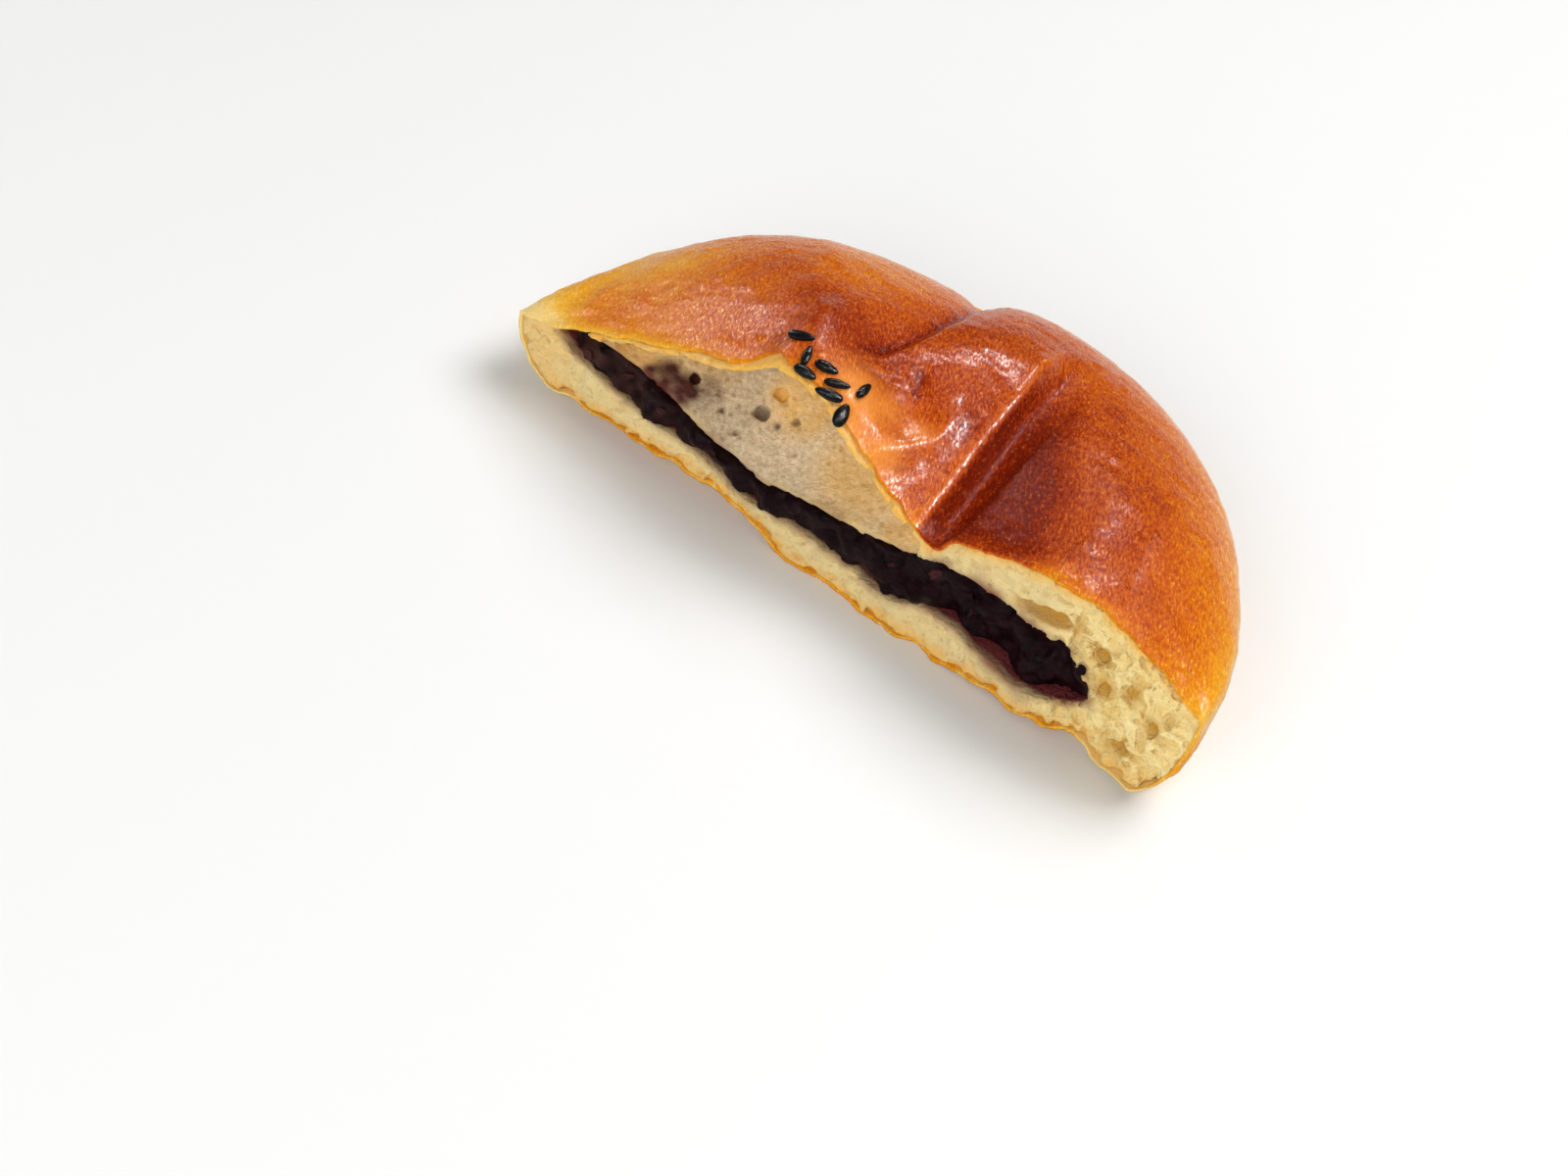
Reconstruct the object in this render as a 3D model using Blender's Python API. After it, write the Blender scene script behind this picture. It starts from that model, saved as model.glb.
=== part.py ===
# Half of a round bun filled with sweet red bean paste, torn across the middle and lying on its base.
#
# Lengths are in millimetres until a mesh is made, which turns them into metres. The solids are drawn
# with the torn face on the plane y = 0, x along the tear, y into the bun and z up from the table.
# Each object is then placed so that the origin is the middle of the flat base.

import math

import bmesh
import bpy
import numpy as np
from mathutils import Matrix, Vector, noise

MM = 0.001

# Driving sizes of the whole bun
BUN_RADIUS = 47.5
DOME_HEIGHT = 26.9
BELT_HEIGHT = 9.4
FOOT_SHARE = 0.90
BASE_CENTRE_Y = 20.0

# Crust line along the tear, as (x, height): it rises from a thin left end, dips at the pleat
# beside the middle and ends in a blunt right end.
CRUST_LINE = [(-48.0, 9.5), (-41.4, 11.8), (-30.7, 16.2), (-21.0, 20.1), (-16.0, 22.4),
              (-12.2, 25.0), (-10.2, 25.5), (-4.3, 23.8), (-0.8, 21.3), (4.2, 18.3),
              (10.0, 15.4), (11.6, 15.0), (13.4, 15.6), (14.4, 17.3), (16.0, 18.1),
              (23.1, 20.5), (28.6, 21.7), (39.1, 20.4), (46.0, 16.9), (48.4, 15.4)]

# How far the lower edge of the tear is lifted off the table, as (x, height)
EDGE_LIFT = [(-42.0, 1.3), (-34.0, 2.1), (-14.5, 2.5), (-8.5, 0.8), (-5.0, 0.0), (12.0, 0.0),
             (26.0, 0.7), (33.5, 1.3), (35.6, 2.6), (38.6, 0.7), (42.0, 0.9)]
EDGE_LIFT_REACH = 7.0

# Folds of the crust. Each runs along its path in plan, and has a height at its start and end
# (negative for a crease), a width on its left and right, and the share of its length over which
# it rises at the start and dies away at the end.
FOLDS = [
    dict(name="crease between the lobes", height=(-3.6, -0.9), width=(2.4, 5.0), fade=(0.0, 0.2),
         path=[(-9.8, 49), (-8.6, 42), (-6.8, 34.6), (-5.8, 27), (-5.5, 19.8), (-6.4, 12.8), (-9.5, 6)]),
    dict(name="crest of the left lobe", height=(1.0, 1.0), width=(3.6, 6.5), fade=(0.3, 0.25),
         path=[(-27, 36), (-22, 23), (-17.5, 14), (-13, 9.5), (-9.5, 7)]),
    dict(name="crest of the pleat", height=(1.6, 1.0), width=(1.2, 4.2), fade=(0.25, 0.1),
         path=[(6.4, 36), (7.4, 27), (8.2, 21), (8.6, 15), (9.1, 9), (9.6, 3), (9.8, -7)]),
    dict(name="crease of the pleat", height=(-1.4, -1.2), width=(5.0, 1.2), fade=(0.3, 0.1),
         path=[(8.8, 36), (9.9, 27), (10.8, 20), (11.6, 13), (12.0, 8), (12.4, 4), (13.4, -7)]),
    dict(name="curved crest before the pleat", height=(1.2, 0.9), width=(3.4, 1.6), fade=(0.15, 0.3),
         path=[(0.6, -2.0), (2.6, 3.4), (4.0, 6.6), (5.2, 9.8), (5.0, 12.8), (3.4, 17)]),
]

# Round swellings (or dips) of the crust: centre, radius, height
SWELLINGS = [((-4.0, 3.5), 4.5, 1.0), ((0.0, 9.5), 3.6, -1.0), ((30.0, 14.0), 9.0, 0.8)]

# Bean paste: middle height and thickness along the tear, and its reach in plan
PASTE_MIDDLE = [(-41.6, 10.6), (-37.0, 9.9), (-28.0, 9.0), (-20.0, 7.4), (-11.0, 6.2), (0.0, 6.9),
                (8.0, 7.3), (16.0, 9.9), (22.0, 9.8), (28.0, 8.6), (35.6, 8.6)]
PASTE_THICKNESS = [(-41.6, 0.8), (-39.0, 3.4), (-28.0, 4.6), (-20.0, 2.6), (-11.0, 2.9), (0.0, 4.2),
                   (8.0, 6.0), (16.0, 8.0), (22.0, 9.0), (28.0, 8.8), (34.0, 5.6), (35.6, 1.6)]
PASTE_DEPTH = 37.0
PASTE_GAP = 0.3

# Air gap between the roof of crust and the paste
CAVITY_LEFT = -38.6
CAVITY_RIGHT = 10.8
CAVITY_DEPTH = [(-38.6, 1.5), (-31.0, 3.5), (-22.0, 9.5), (-12.0, 13.0), (-2.0, 12.0), (6.0, 6.5),
                (10.8, 1.5)]
ROOF_THICKNESS = 1.1
ROOF_GROWTH = 0.2
FLOOR_DIP = 0.35
FLOOR_SLOPE = 0.5
SLIT_HEIGHT = 0.9

# Bubbles that show in the crumb at the blunt end: centre (x, z), size (x, y, z), tilt in degrees
BUBBLES = [((28.0, 15.6), (7.6, 4.4, 2.2), 6), ((35.3, 14.6), (2.4, 3.2, 2.0), 20),
           ((37.2, 11.4), (1.9, 3.0, 2.8), -10), ((40.4, 13.2), (1.7, 2.6, 2.3), 15),
           ((40.8, 4.2), (3.4, 3.4, 1.8), 12), ((43.8, 10.0), (1.5, 2.4, 2.4), 0)]

# Sesame seeds: centre in plan (x, y), heading in degrees, length, width
SEEDS = [((-12.2, 4.6), 16, 3.4, 1.3), ((-9.9, 2.7), 110, 2.8, 1.1), ((-8.7, 0.9), 8, 2.9, 1.45),
         ((-7.4, 3.1), 16, 2.9, 1.35), ((-5.3, 2.6), 31, 3.1, 1.05), ((-5.2, 1.1), 203, 3.4, 1.35),
         ((-2.9, 0.8), 116, 3.1, 1.75), ((-3.1, 4.8), 95, 2.9, 1.15)]
SEED_THICKNESS = 1.0
SEED_SINK = 0.28


# Curves and blends

def ease(share):
    """A smooth step from 0 to 1."""
    share = np.clip(share, 0.0, 1.0)
    return share * share * (3.0 - 2.0 * share)


def bell(distance, width):
    return np.exp(-(distance / width) ** 2)


def tent(distance, width, rounding=0.6):
    """A fold's cross section: a crest rounded over a short width, with long even flanks."""
    return np.exp(-(np.sqrt(distance ** 2 + rounding ** 2) - rounding) / width)


def through(points, x):
    """A smooth curve through points (x, value) that never overshoots them."""
    px = np.array([p[0] for p in points], float)
    py = np.array([p[1] for p in points], float)
    step = np.diff(px)
    slope = np.diff(py) / step
    tangent = np.zeros(len(px))
    same_way = slope[:-1] * slope[1:] > 0
    with np.errstate(divide="ignore", invalid="ignore"):
        mean = 2.0 * slope[:-1] * slope[1:] / (slope[:-1] + slope[1:])
    tangent[1:-1] = np.where(same_way, mean, 0.0)
    tangent[0], tangent[-1] = slope[0], slope[-1]
    x = np.clip(np.asarray(x, float), px[0], px[-1])
    i = np.clip(np.searchsorted(px, x, side="right") - 1, 0, len(step) - 1)
    t = (x - px[i]) / step[i]
    start = (1 + 2 * t) * (1 - t) ** 2 * py[i] + t * (1 - t) ** 2 * step[i] * tangent[i]
    end = t * t * (3 - 2 * t) * py[i + 1] + t * t * (t - 1) * step[i] * tangent[i + 1]
    return start + end


def smooth_path(points, count=24):
    """The same path with its corners rounded, as count + 1 points."""
    points = np.array(points, float)
    run = np.concatenate([[0.0], np.cumsum(np.hypot(*np.diff(points, axis=0).T))])
    stations = np.linspace(0.0, run[-1], count + 1)
    return np.stack([through(list(zip(run, points[:, axis])), stations) for axis in (0, 1)], axis=1)


def beside_path(x, y, path):
    """Distance to a path, which is positive on its left, and the share of its length passed."""
    nearest = np.full(x.shape, 1e9)
    side = np.ones(x.shape)
    share = np.zeros(x.shape)
    count = len(path) - 1
    for i in range(count):
        a = path[i]
        run = path[i + 1] - a
        length = math.hypot(*run)
        u = np.clip(((x - a[0]) * run[0] + (y - a[1]) * run[1]) / length ** 2, 0.0, 1.0)
        dx = x - (a[0] + u * run[0])
        dy = y - (a[1] + u * run[1])
        distance = np.hypot(dx, dy)
        closer = distance < nearest
        nearest = np.where(closer, distance, nearest)
        side = np.where(closer, np.sign(run[0] * dy - run[1] * dx), side)
        share = np.where(closer, (i + u) / count, share)
    return nearest * side, share


# Form of the bun

def rim_radius(angle):
    """Radius in plan at an angle from the right end of the tear, in degrees from 0 to 180."""
    return (BUN_RADIUS + 1.4 * bell(angle, 14) - 0.6 * bell(angle - 32, 16) + 0.8 * bell(angle - 68, 22)
            - 1.5 * bell(angle - 112, 13) + 1.5 * bell(angle - 145, 20) + 0.6 * bell(180 - angle, 16))


def belt_height(angle):
    """Height of the widest part: high at the blunt right end."""
    return BELT_HEIGHT + 5.0 * bell(angle, 38)


def dome_power(angle):
    """Roundness of the dome: nearly a cone at the thin left end."""
    return 1.9 - 0.78 * bell(180 - angle, 26) + 0.1 * bell(angle, 40)


def foot_share(angle):
    return FOOT_SHARE - 0.02 * bell(180 - angle, 30)


def dome_top(x, y):
    """Height of the plain dome, without folds."""
    angle = np.degrees(np.arctan2(np.abs(y), x))
    radius = np.hypot(x, y)
    power = 1.9 + (dome_power(angle) - 1.9) * ease(radius / 14.0)
    belt = belt_height(angle)
    share = np.clip(radius / rim_radius(angle), 0.0, 1.0)
    return belt + (DOME_HEIGHT - belt) * np.maximum(1.0 - share ** power, 0.0) ** (1.0 / power)


def fold_relief(x, y):
    """Height that the folds and swellings add to the dome."""
    relief = np.zeros(x.shape)
    for fold in FOLDS:
        offset, share = beside_path(x, y, smooth_path(fold["path"]))
        left, right = fold["width"]
        width = left + (right - left) * 0.5 * (1.0 - np.tanh(offset / 0.8))
        start, end = fold["height"]
        rise, fall = fold["fade"]
        height = start + (end - start) * share
        height = height * ease(share / max(rise, 1e-6)) * ease((1.0 - share) / max(fall, 1e-6))
        relief += height * tent(offset, width)
    for centre, radius, height in SWELLINGS:
        relief += height * bell(np.hypot(x - centre[0], y - centre[1]), radius)
    return relief


def crust_relief(x, y, height):
    """What is added to a point of the plain dome, so that it meets the crust line at the tear."""
    angle = np.degrees(np.arctan2(np.abs(y), x))
    above_belt = height - belt_height(angle)
    tear = np.clip(x, CRUST_LINE[0][0], CRUST_LINE[-1][0])
    missing = through(CRUST_LINE, tear) - dome_top(tear, np.zeros_like(tear))
    reach = 14.0 + 5.0 * bell(x - 8.0, 9.0) + 3.0 * bell(x + 35.0, 16.0)
    shoulder = ease(above_belt / (2.5 + 2.5 * ease(np.abs(y) / 4.0)))
    folds = fold_relief(x, y) * ease(above_belt / 5.0) * (1.0 - 0.8 * bell(y, 2.5))
    return missing * bell(y, reach) * shoulder + folds


def crust_top(x, y):
    x, y = np.broadcast_arrays(np.asarray(x, float), np.asarray(y, float))
    plain = dome_top(x, y)
    return plain + crust_relief(x, y, plain)


def shell_points(angle, share, side, samples=90):
    """Points of the bun's skin. share runs from 0 at the top to 1 in the middle of the base."""
    radius = rim_radius(angle)[:, None]
    belt = belt_height(angle)[:, None]
    power = dome_power(angle)[:, None]
    foot = foot_share(angle)[:, None]
    top_turn = np.linspace(0.0, math.pi / 2, samples)[None, :]
    top_share = np.sin(top_turn)
    blend = 1.9 + (power - 1.9) * ease(top_share * radius / 14.0)
    top_height = belt + (DOME_HEIGHT - belt) * np.maximum(1.0 - top_share ** blend, 0.0) ** (1.0 / blend)
    low_turn = np.linspace(0.0, math.pi / 2, samples // 3)[None, 1:]
    low_radius = radius * (foot + (1.0 - foot) * np.cos(low_turn))
    low_height = belt * (1.0 - np.sin(low_turn))
    base_run = np.linspace(1.0, 0.0, samples // 3)[None, 1:]
    base_radius = radius * foot * base_run
    r = np.concatenate([radius * top_share, low_radius, base_radius], axis=1)
    z = np.concatenate([top_height, low_height, np.zeros_like(base_radius)], axis=1)
    run = np.cumsum(np.hypot(np.diff(r, axis=1), np.diff(z, axis=1)), axis=1)
    run = np.concatenate([np.zeros((len(angle), 1)), run], axis=1)
    wanted = share * run[:, -1]
    i = np.clip((run < wanted[:, None]).sum(axis=1) - 1, 0, run.shape[1] - 2)
    rows = np.arange(len(angle))
    t = (wanted - run[rows, i]) / (run[rows, i + 1] - run[rows, i])
    r = r[rows, i] * (1 - t) + r[rows, i + 1] * t
    z = z[rows, i] * (1 - t) + z[rows, i + 1] * t
    x = r * np.cos(np.radians(angle))
    y = r * np.sin(np.radians(angle)) * side
    upper = share * run[:, -1] < run[:, samples - 1]
    z = z + np.where(upper, crust_relief(x, y, z), 0.0)
    lift = through(EDGE_LIFT, x) * bell(y, EDGE_LIFT_REACH) * ease((BELT_HEIGHT - z) / BELT_HEIGHT)
    return x, y, z + np.where(upper, 0.0, lift)


def lumpiness(x, z, size, layer):
    """Even noise from about -0.7 to 0.7, with lumps of a given size."""
    return noise.noise(Vector((x / size, z / size, layer)))


def torn_relief(x, z):
    """Unevenness of the torn face, in y: rougher in the thick crumb of the blunt end."""
    roughness = 0.9 + 0.7 * float(ease((x - 28.0) / 8.0))
    return roughness * (0.8 * lumpiness(x, z, 7.0, 0.3) + 0.5 * lumpiness(x, z, 3.1, 4.7))


def paste_relief(x, z):
    """Unevenness of the paste's torn face: lumps of bean about 5 mm apart, deeper towards the right."""
    recess = 0.5 + 1.3 * float(ease((x - 8.0) / 12.0))
    return recess + 1.5 * lumpiness(x, z, 4.2, 9.1) + 0.8 * lumpiness(x, z, 2.2, 2.6)


def paste_section(x, margin):
    """Lowest and highest point of the paste at the tear, grown by a margin."""
    middle = through(PASTE_MIDDLE, x)
    half = 0.5 * through(PASTE_THICKNESS, x)
    return middle - half - margin, middle + half + margin


# Solids

def make_object(name, points, faces):
    """A closed mesh from points in millimetres, with its faces turned outwards."""
    mesh = bpy.data.meshes.new(name)
    mesh.from_pydata([Vector(p) * MM for p in points], [], faces)
    bm = bmesh.new()
    bm.from_mesh(mesh)
    bmesh.ops.remove_doubles(bm, verts=bm.verts, dist=0.00001)
    bmesh.ops.recalc_face_normals(bm, faces=bm.faces)
    bm.to_mesh(mesh)
    bm.free()
    solid = bpy.data.objects.new(name, mesh)
    bpy.context.scene.collection.objects.link(solid)
    return solid


def loft(name, loops):
    """A closed solid over loops with the same number of points."""
    count = len(loops[0])
    points = [p for loop in loops for p in loop]
    faces = []
    for i in range(len(loops) - 1):
        for j in range(count):
            k = (j + 1) % count
            faces.append((i * count + j, i * count + k, (i + 1) * count + k, (i + 1) * count + j))
    faces.append(tuple(range(count)))
    faces.append(tuple(range((len(loops) - 1) * count, len(loops) * count)))
    return make_object(name, points, faces)


def make_bun_shell(divisions=34):
    """The whole bun, from a cube whose even grid is drawn over the bun's skin."""
    bm = bmesh.new()
    bmesh.ops.create_cube(bm, size=2.0)
    bmesh.ops.subdivide_edges(bm, edges=bm.edges, cuts=divisions - 1, use_grid_fill=True)
    grid = np.array([v.co for v in bm.verts], float)
    even = np.tan(grid * math.pi / 4)
    even /= np.linalg.norm(even, axis=1, keepdims=True)
    angle = np.degrees(np.arctan2(np.abs(even[:, 1]), even[:, 0]))
    share = np.arccos(np.clip(even[:, 2], -1.0, 1.0)) / math.pi
    side = np.where(even[:, 1] < 0, -1.0, 1.0)
    for vertex, x, y, z in zip(bm.verts, *shell_points(angle, share, side)):
        vertex.co = Vector((x, y, z)) * MM
    bmesh.ops.recalc_face_normals(bm, faces=bm.faces)
    mesh = bpy.data.meshes.new("bun_bread")
    bm.to_mesh(mesh)
    bm.free()
    shell = bpy.data.objects.new("bun_bread", mesh)
    bpy.context.scene.collection.objects.link(shell)
    return shell


def make_tear(name, relief, cell=1.7):
    """A block that cuts away everything in front of an uneven face."""
    reach_x, low, high, back = 53.0, -4.0, 32.0, -60.0
    columns = int(2 * reach_x / cell) + 1
    rows = int((high - low) / cell) + 1
    xs = np.linspace(-reach_x, reach_x, columns)
    zs = np.linspace(low, high, rows)
    points = [(x, relief(x, z), z) for z in zs for x in xs]
    faces = []
    for j in range(rows - 1):
        for i in range(columns - 1):
            a = j * columns + i
            faces.append((a, a + 1, a + columns + 1))
            faces.append((a, a + columns + 1, a + columns))
    rim = ([(0, i) for i in range(columns)] + [(j, columns - 1) for j in range(1, rows)]
           + [(rows - 1, i) for i in range(columns - 2, -1, -1)] + [(j, 0) for j in range(rows - 2, 0, -1)])
    rim = [j * columns + i for j, i in rim]
    first = len(points)
    points += [(points[i][0], back, points[i][2]) for i in rim]
    count = len(rim)
    for i in range(count):
        k = (i + 1) % count
        faces.append((rim[i], rim[k], first + k, first + i))
    faces.append(tuple(range(first, first + count)))
    return make_object(name, points, faces)


def make_paste_body(name, margin, stations=34, ring=7, front=-8.0):
    """A lens of paste running into the bun, left long in front of the tear."""
    left = PASTE_MIDDLE[0][0] - margin
    right = PASTE_MIDDLE[-1][0] + margin
    centre = 0.5 * (left + right)
    half_width = 0.5 * (right - left)
    loops = []
    for turn in np.linspace(-math.pi / 2, math.pi / 2, stations):
        across = 0.998 * math.sin(turn)
        x = centre + half_width * across
        low, high = (float(v) for v in paste_section(x, margin))
        middle, half = 0.5 * (low + high), 0.5 * (high - low)
        depth = (PASTE_DEPTH + margin) * math.sqrt(1.0 - across ** 2)
        top = []
        bottom = []
        for bend in np.linspace(0.0, math.pi / 2, ring):
            y = depth * math.sin(bend)
            fullness = math.sqrt(max(1.0 - math.sin(bend) ** 3, 0.0))
            rise = (9.0 - middle) * ease(y / 25.0)
            swell = 1.0 + 0.5 * ease(y / 12.0) * ease((5.5 - 2 * half) / 3.0)
            top.append((x, y, middle + rise + half * swell * fullness))
            bottom.append((x, y, middle + rise - half * swell * fullness))
        loop = [(x, front, low), (x, front, high)] + top + bottom[-2::-1]
        loops.append(loop)
    return loft(name, loops)


def make_cavity(name, stations=26, ring=8, front=-8.0):
    """The scoop of air over the paste: its roof follows the crust, its floor leans on the paste."""
    loops = []
    for x in np.linspace(CAVITY_LEFT, CAVITY_RIGHT, stations):
        depth = float(through(CAVITY_DEPTH, x))
        low = float(paste_section(x, 0.0)[1]) - FLOOR_DIP
        high = float(through(CRUST_LINE, x)) - ROOF_THICKNESS
        high = max(high, low + SLIT_HEIGHT)
        loop = [(x, front, low), (x, front, high)]
        for bend in np.linspace(0.0, math.pi, 2 * ring + 1):
            y = depth * math.sin(bend)
            roof = float(crust_top(x, y)) - ROOF_THICKNESS - ROOF_GROWTH * y
            floor = low + FLOOR_SLOPE * y
            share = 0.5 * (1.0 + math.cos(bend))
            loop.append((x, y, floor + (max(roof, floor + SLIT_HEIGHT) - floor) * share))
        loops.append(loop)
    return loft(name, loops)


def ellipsoid(name, centre, size, turn, segments=8, rings=5):
    """An ellipsoid of full size (x, y, z) in millimetres, turned by a matrix."""
    bm = bmesh.new()
    bmesh.ops.create_uvsphere(bm, u_segments=segments, v_segments=rings, radius=0.5)
    bmesh.ops.transform(bm, verts=bm.verts, matrix=Matrix.Diagonal((*[s * MM for s in size], 1.0)))
    bmesh.ops.transform(bm, verts=bm.verts, matrix=turn)
    bmesh.ops.translate(bm, verts=bm.verts, vec=Vector(centre) * MM)
    mesh = bpy.data.meshes.new(name)
    bm.to_mesh(mesh)
    bm.free()
    return bpy.data.objects.new(name, mesh)


def make_bubbles():
    """Cutters for the large bubbles of the crumb."""
    bubbles = bpy.data.collections.new("crumb_bubbles")
    bpy.context.scene.collection.children.link(bubbles)
    for i, ((x, z), size, tilt) in enumerate(BUBBLES):
        turn = Matrix.Rotation(math.radians(-tilt), 4, "Y")
        bubbles.objects.link(ellipsoid(f"bubble_{i}", (x, float(torn_relief(x, z)), z), size, turn))
    return bubbles


def surface_frame(x, y, heading):
    """A matrix whose X lies along a heading on the crust, with Z standing on it."""
    step = 0.4
    slope_x = float(crust_top(x + step, y) - crust_top(x - step, y)) / (2 * step)
    slope_y = float(crust_top(x, y + step) - crust_top(x, y - step)) / (2 * step)
    normal = Vector((-slope_x, -slope_y, 1.0)).normalized()
    along = Vector((math.cos(math.radians(heading)), math.sin(math.radians(heading)), 0.0))
    along = (along - normal * along.dot(normal)).normalized()
    across = normal.cross(along)
    return Matrix((along, across, normal)).transposed().to_4x4(), normal


def make_seeds():
    """Sesame seeds, each sunk a little into the crust."""
    seeds = bpy.data.collections.new("sesame_seeds")
    bpy.context.scene.collection.children.link(seeds)
    for i, ((x, y), heading, length, width) in enumerate(SEEDS):
        turn, normal = surface_frame(x, y, heading)
        rest = Vector((x, y, float(crust_top(x, y))))
        centre = rest + normal * SEED_THICKNESS * (0.5 - SEED_SINK)
        size = (length, width, SEED_THICKNESS)
        pole_along = turn @ Matrix.Rotation(math.pi / 2, 4, "Y")
        seed = ellipsoid(f"seed_{i}", centre, (size[2], size[1], size[0]), pole_along, 6, 5)
        seeds.objects.link(seed)
    return seeds


# Joining and cutting

def boolean(target, operation, other, solver="EXACT"):
    """Cuts away or joins an object, or every object of a collection.

    The thin roof and the crumb over the paste need the MANIFOLD solver.
    """
    modifier = target.modifiers.new(f"{operation}_{other.name}", "BOOLEAN")
    modifier.operation = operation
    modifier.solver = solver
    if isinstance(other, bpy.types.Collection):
        modifier.operand_type = "COLLECTION"
        modifier.collection = other
    else:
        modifier.object = other


def apply_modifiers(solid):
    """Turns the object's evaluated shape into its own mesh."""
    bpy.context.view_layer.update()
    evaluated = solid.evaluated_get(bpy.context.evaluated_depsgraph_get())
    finished = bpy.data.meshes.new_from_object(evaluated)
    solid.modifiers.clear()
    plain = solid.data
    solid.data = finished
    bpy.data.meshes.remove(plain)


def remove(*cutters):
    for cutter in cutters:
        if isinstance(cutter, bpy.types.Collection):
            for member in list(cutter.objects):
                bpy.data.objects.remove(member)
            bpy.data.collections.remove(cutter)
        else:
            bpy.data.objects.remove(cutter)


def merge_flat_faces(solid, angle=0.4):
    """Joins the triangles of the flat base into large faces."""
    modifier = solid.modifiers.new("flat_base", "DECIMATE")
    modifier.decimate_type = "DISSOLVE"
    modifier.angle_limit = math.radians(angle)


def material(name, colour, roughness):
    finish = bpy.data.materials.new(name)
    finish.use_nodes = True
    shader = finish.node_tree.nodes["Principled BSDF"]
    shader.inputs["Base Color"].default_value = (*colour, 1.0)
    shader.inputs["Roughness"].default_value = roughness
    shader.inputs["Metallic"].default_value = 0.0
    return finish


def make_bread():
    """Crust and crumb in one, torn open, with room for the paste, an air gap and the seeds."""
    bread = make_bun_shell()
    merge_flat_faces(bread)
    tear = make_tear("tear_of_bread", torn_relief)
    pocket = make_paste_body("pocket_for_paste", PASTE_GAP)
    cavity = make_cavity("air_gap")
    bubbles = make_bubbles()
    seeds = make_seeds()
    for cutter in (tear, pocket, cavity, bubbles):
        boolean(bread, "DIFFERENCE", cutter, "MANIFOLD")
    boolean(bread, "UNION", seeds, "MANIFOLD")
    apply_modifiers(bread)
    remove(tear, pocket, cavity, bubbles, seeds)
    bread.data.materials.clear()
    bread.data.materials.append(material("baked_crust", (0.42, 0.14, 0.035), 0.38))
    return bread


def make_paste():
    """The filling, with its own rough torn face."""
    paste = make_paste_body("bean_paste", 0.0)
    tear = make_tear("tear_of_paste", paste_relief, cell=1.9)
    boolean(paste, "DIFFERENCE", tear)
    apply_modifiers(paste)
    remove(tear)
    paste.data.materials.clear()
    paste.data.materials.append(material("red_bean_paste", (0.035, 0.012, 0.016), 0.3))
    return paste


def main():
    for old in list(bpy.data.objects):
        bpy.data.objects.remove(old)
    for solid in (make_bread(), make_paste()):
        solid.location = (0.0, -BASE_CENTRE_Y * MM, 0.0)
        solid.data.shade_smooth()
        solid.data.set_sharp_from_angle(angle=math.radians(40))


main()
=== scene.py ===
# Half of a round bun filled with sweet red bean paste, torn across the middle and lying on its base:
# the crust, the crumb, the paste and the sesame seeds, each with its own finish.
#
# Shapes are drawn as the solids are, in millimetres: the torn face on the plane y = 0, x along the
# tear, y into the bun and z up from the table. to_metres() turns such points into metres in the frame
# of the solids, whose origin is the middle of the flat base.

import math

import bmesh
import bpy
import numpy as np
from mathutils import Matrix, Vector, noise


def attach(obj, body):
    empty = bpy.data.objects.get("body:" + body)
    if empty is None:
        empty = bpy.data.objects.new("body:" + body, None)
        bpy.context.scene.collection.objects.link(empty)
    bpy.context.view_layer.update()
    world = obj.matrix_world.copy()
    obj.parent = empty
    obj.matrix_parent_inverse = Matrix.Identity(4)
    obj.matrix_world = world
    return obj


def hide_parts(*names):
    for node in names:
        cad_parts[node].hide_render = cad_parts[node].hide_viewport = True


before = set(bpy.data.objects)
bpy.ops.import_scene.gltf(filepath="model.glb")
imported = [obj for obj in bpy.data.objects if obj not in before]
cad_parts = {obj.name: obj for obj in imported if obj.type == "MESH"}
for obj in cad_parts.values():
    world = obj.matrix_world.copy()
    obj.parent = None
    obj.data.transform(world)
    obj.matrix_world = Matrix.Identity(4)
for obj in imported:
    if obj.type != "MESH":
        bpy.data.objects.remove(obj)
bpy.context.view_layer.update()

MM = 0.001

# Driving sizes of the whole bun
BUN_RADIUS = 47.5
DOME_HEIGHT = 26.9
BELT_HEIGHT = 9.4
FOOT_SHARE = 0.90
BASE_CENTRE_Y = 20.0
DOME_POWER = 1.9
EVEN_TOP_RADIUS = 14.0

# Crust line along the tear, as (x, height): it rises from a thin left end, dips at the pleat
# beside the middle and ends in a blunt right end.
CRUST_LINE = [(-48.0, 9.5), (-41.4, 11.8), (-30.7, 16.2), (-21.0, 20.1), (-16.0, 22.4),
              (-12.2, 25.0), (-10.2, 25.5), (-4.3, 23.8), (-0.8, 21.3), (4.2, 18.3),
              (10.0, 15.4), (11.6, 15.0), (13.4, 15.6), (14.4, 17.3), (16.0, 18.1),
              (23.1, 20.5), (28.6, 21.7), (39.1, 20.4), (46.0, 16.9), (48.4, 15.4)]

# How far the lower edge of the tear is lifted off the table, as (x, height)
EDGE_LIFT = [(-42.0, 1.3), (-34.0, 2.1), (-14.5, 2.5), (-8.5, 0.8), (-5.0, 0.0), (12.0, 0.0),
             (26.0, 0.7), (33.5, 1.3), (35.6, 2.6), (38.6, 0.7), (42.0, 0.9)]
EDGE_LIFT_REACH = 7.0

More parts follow.
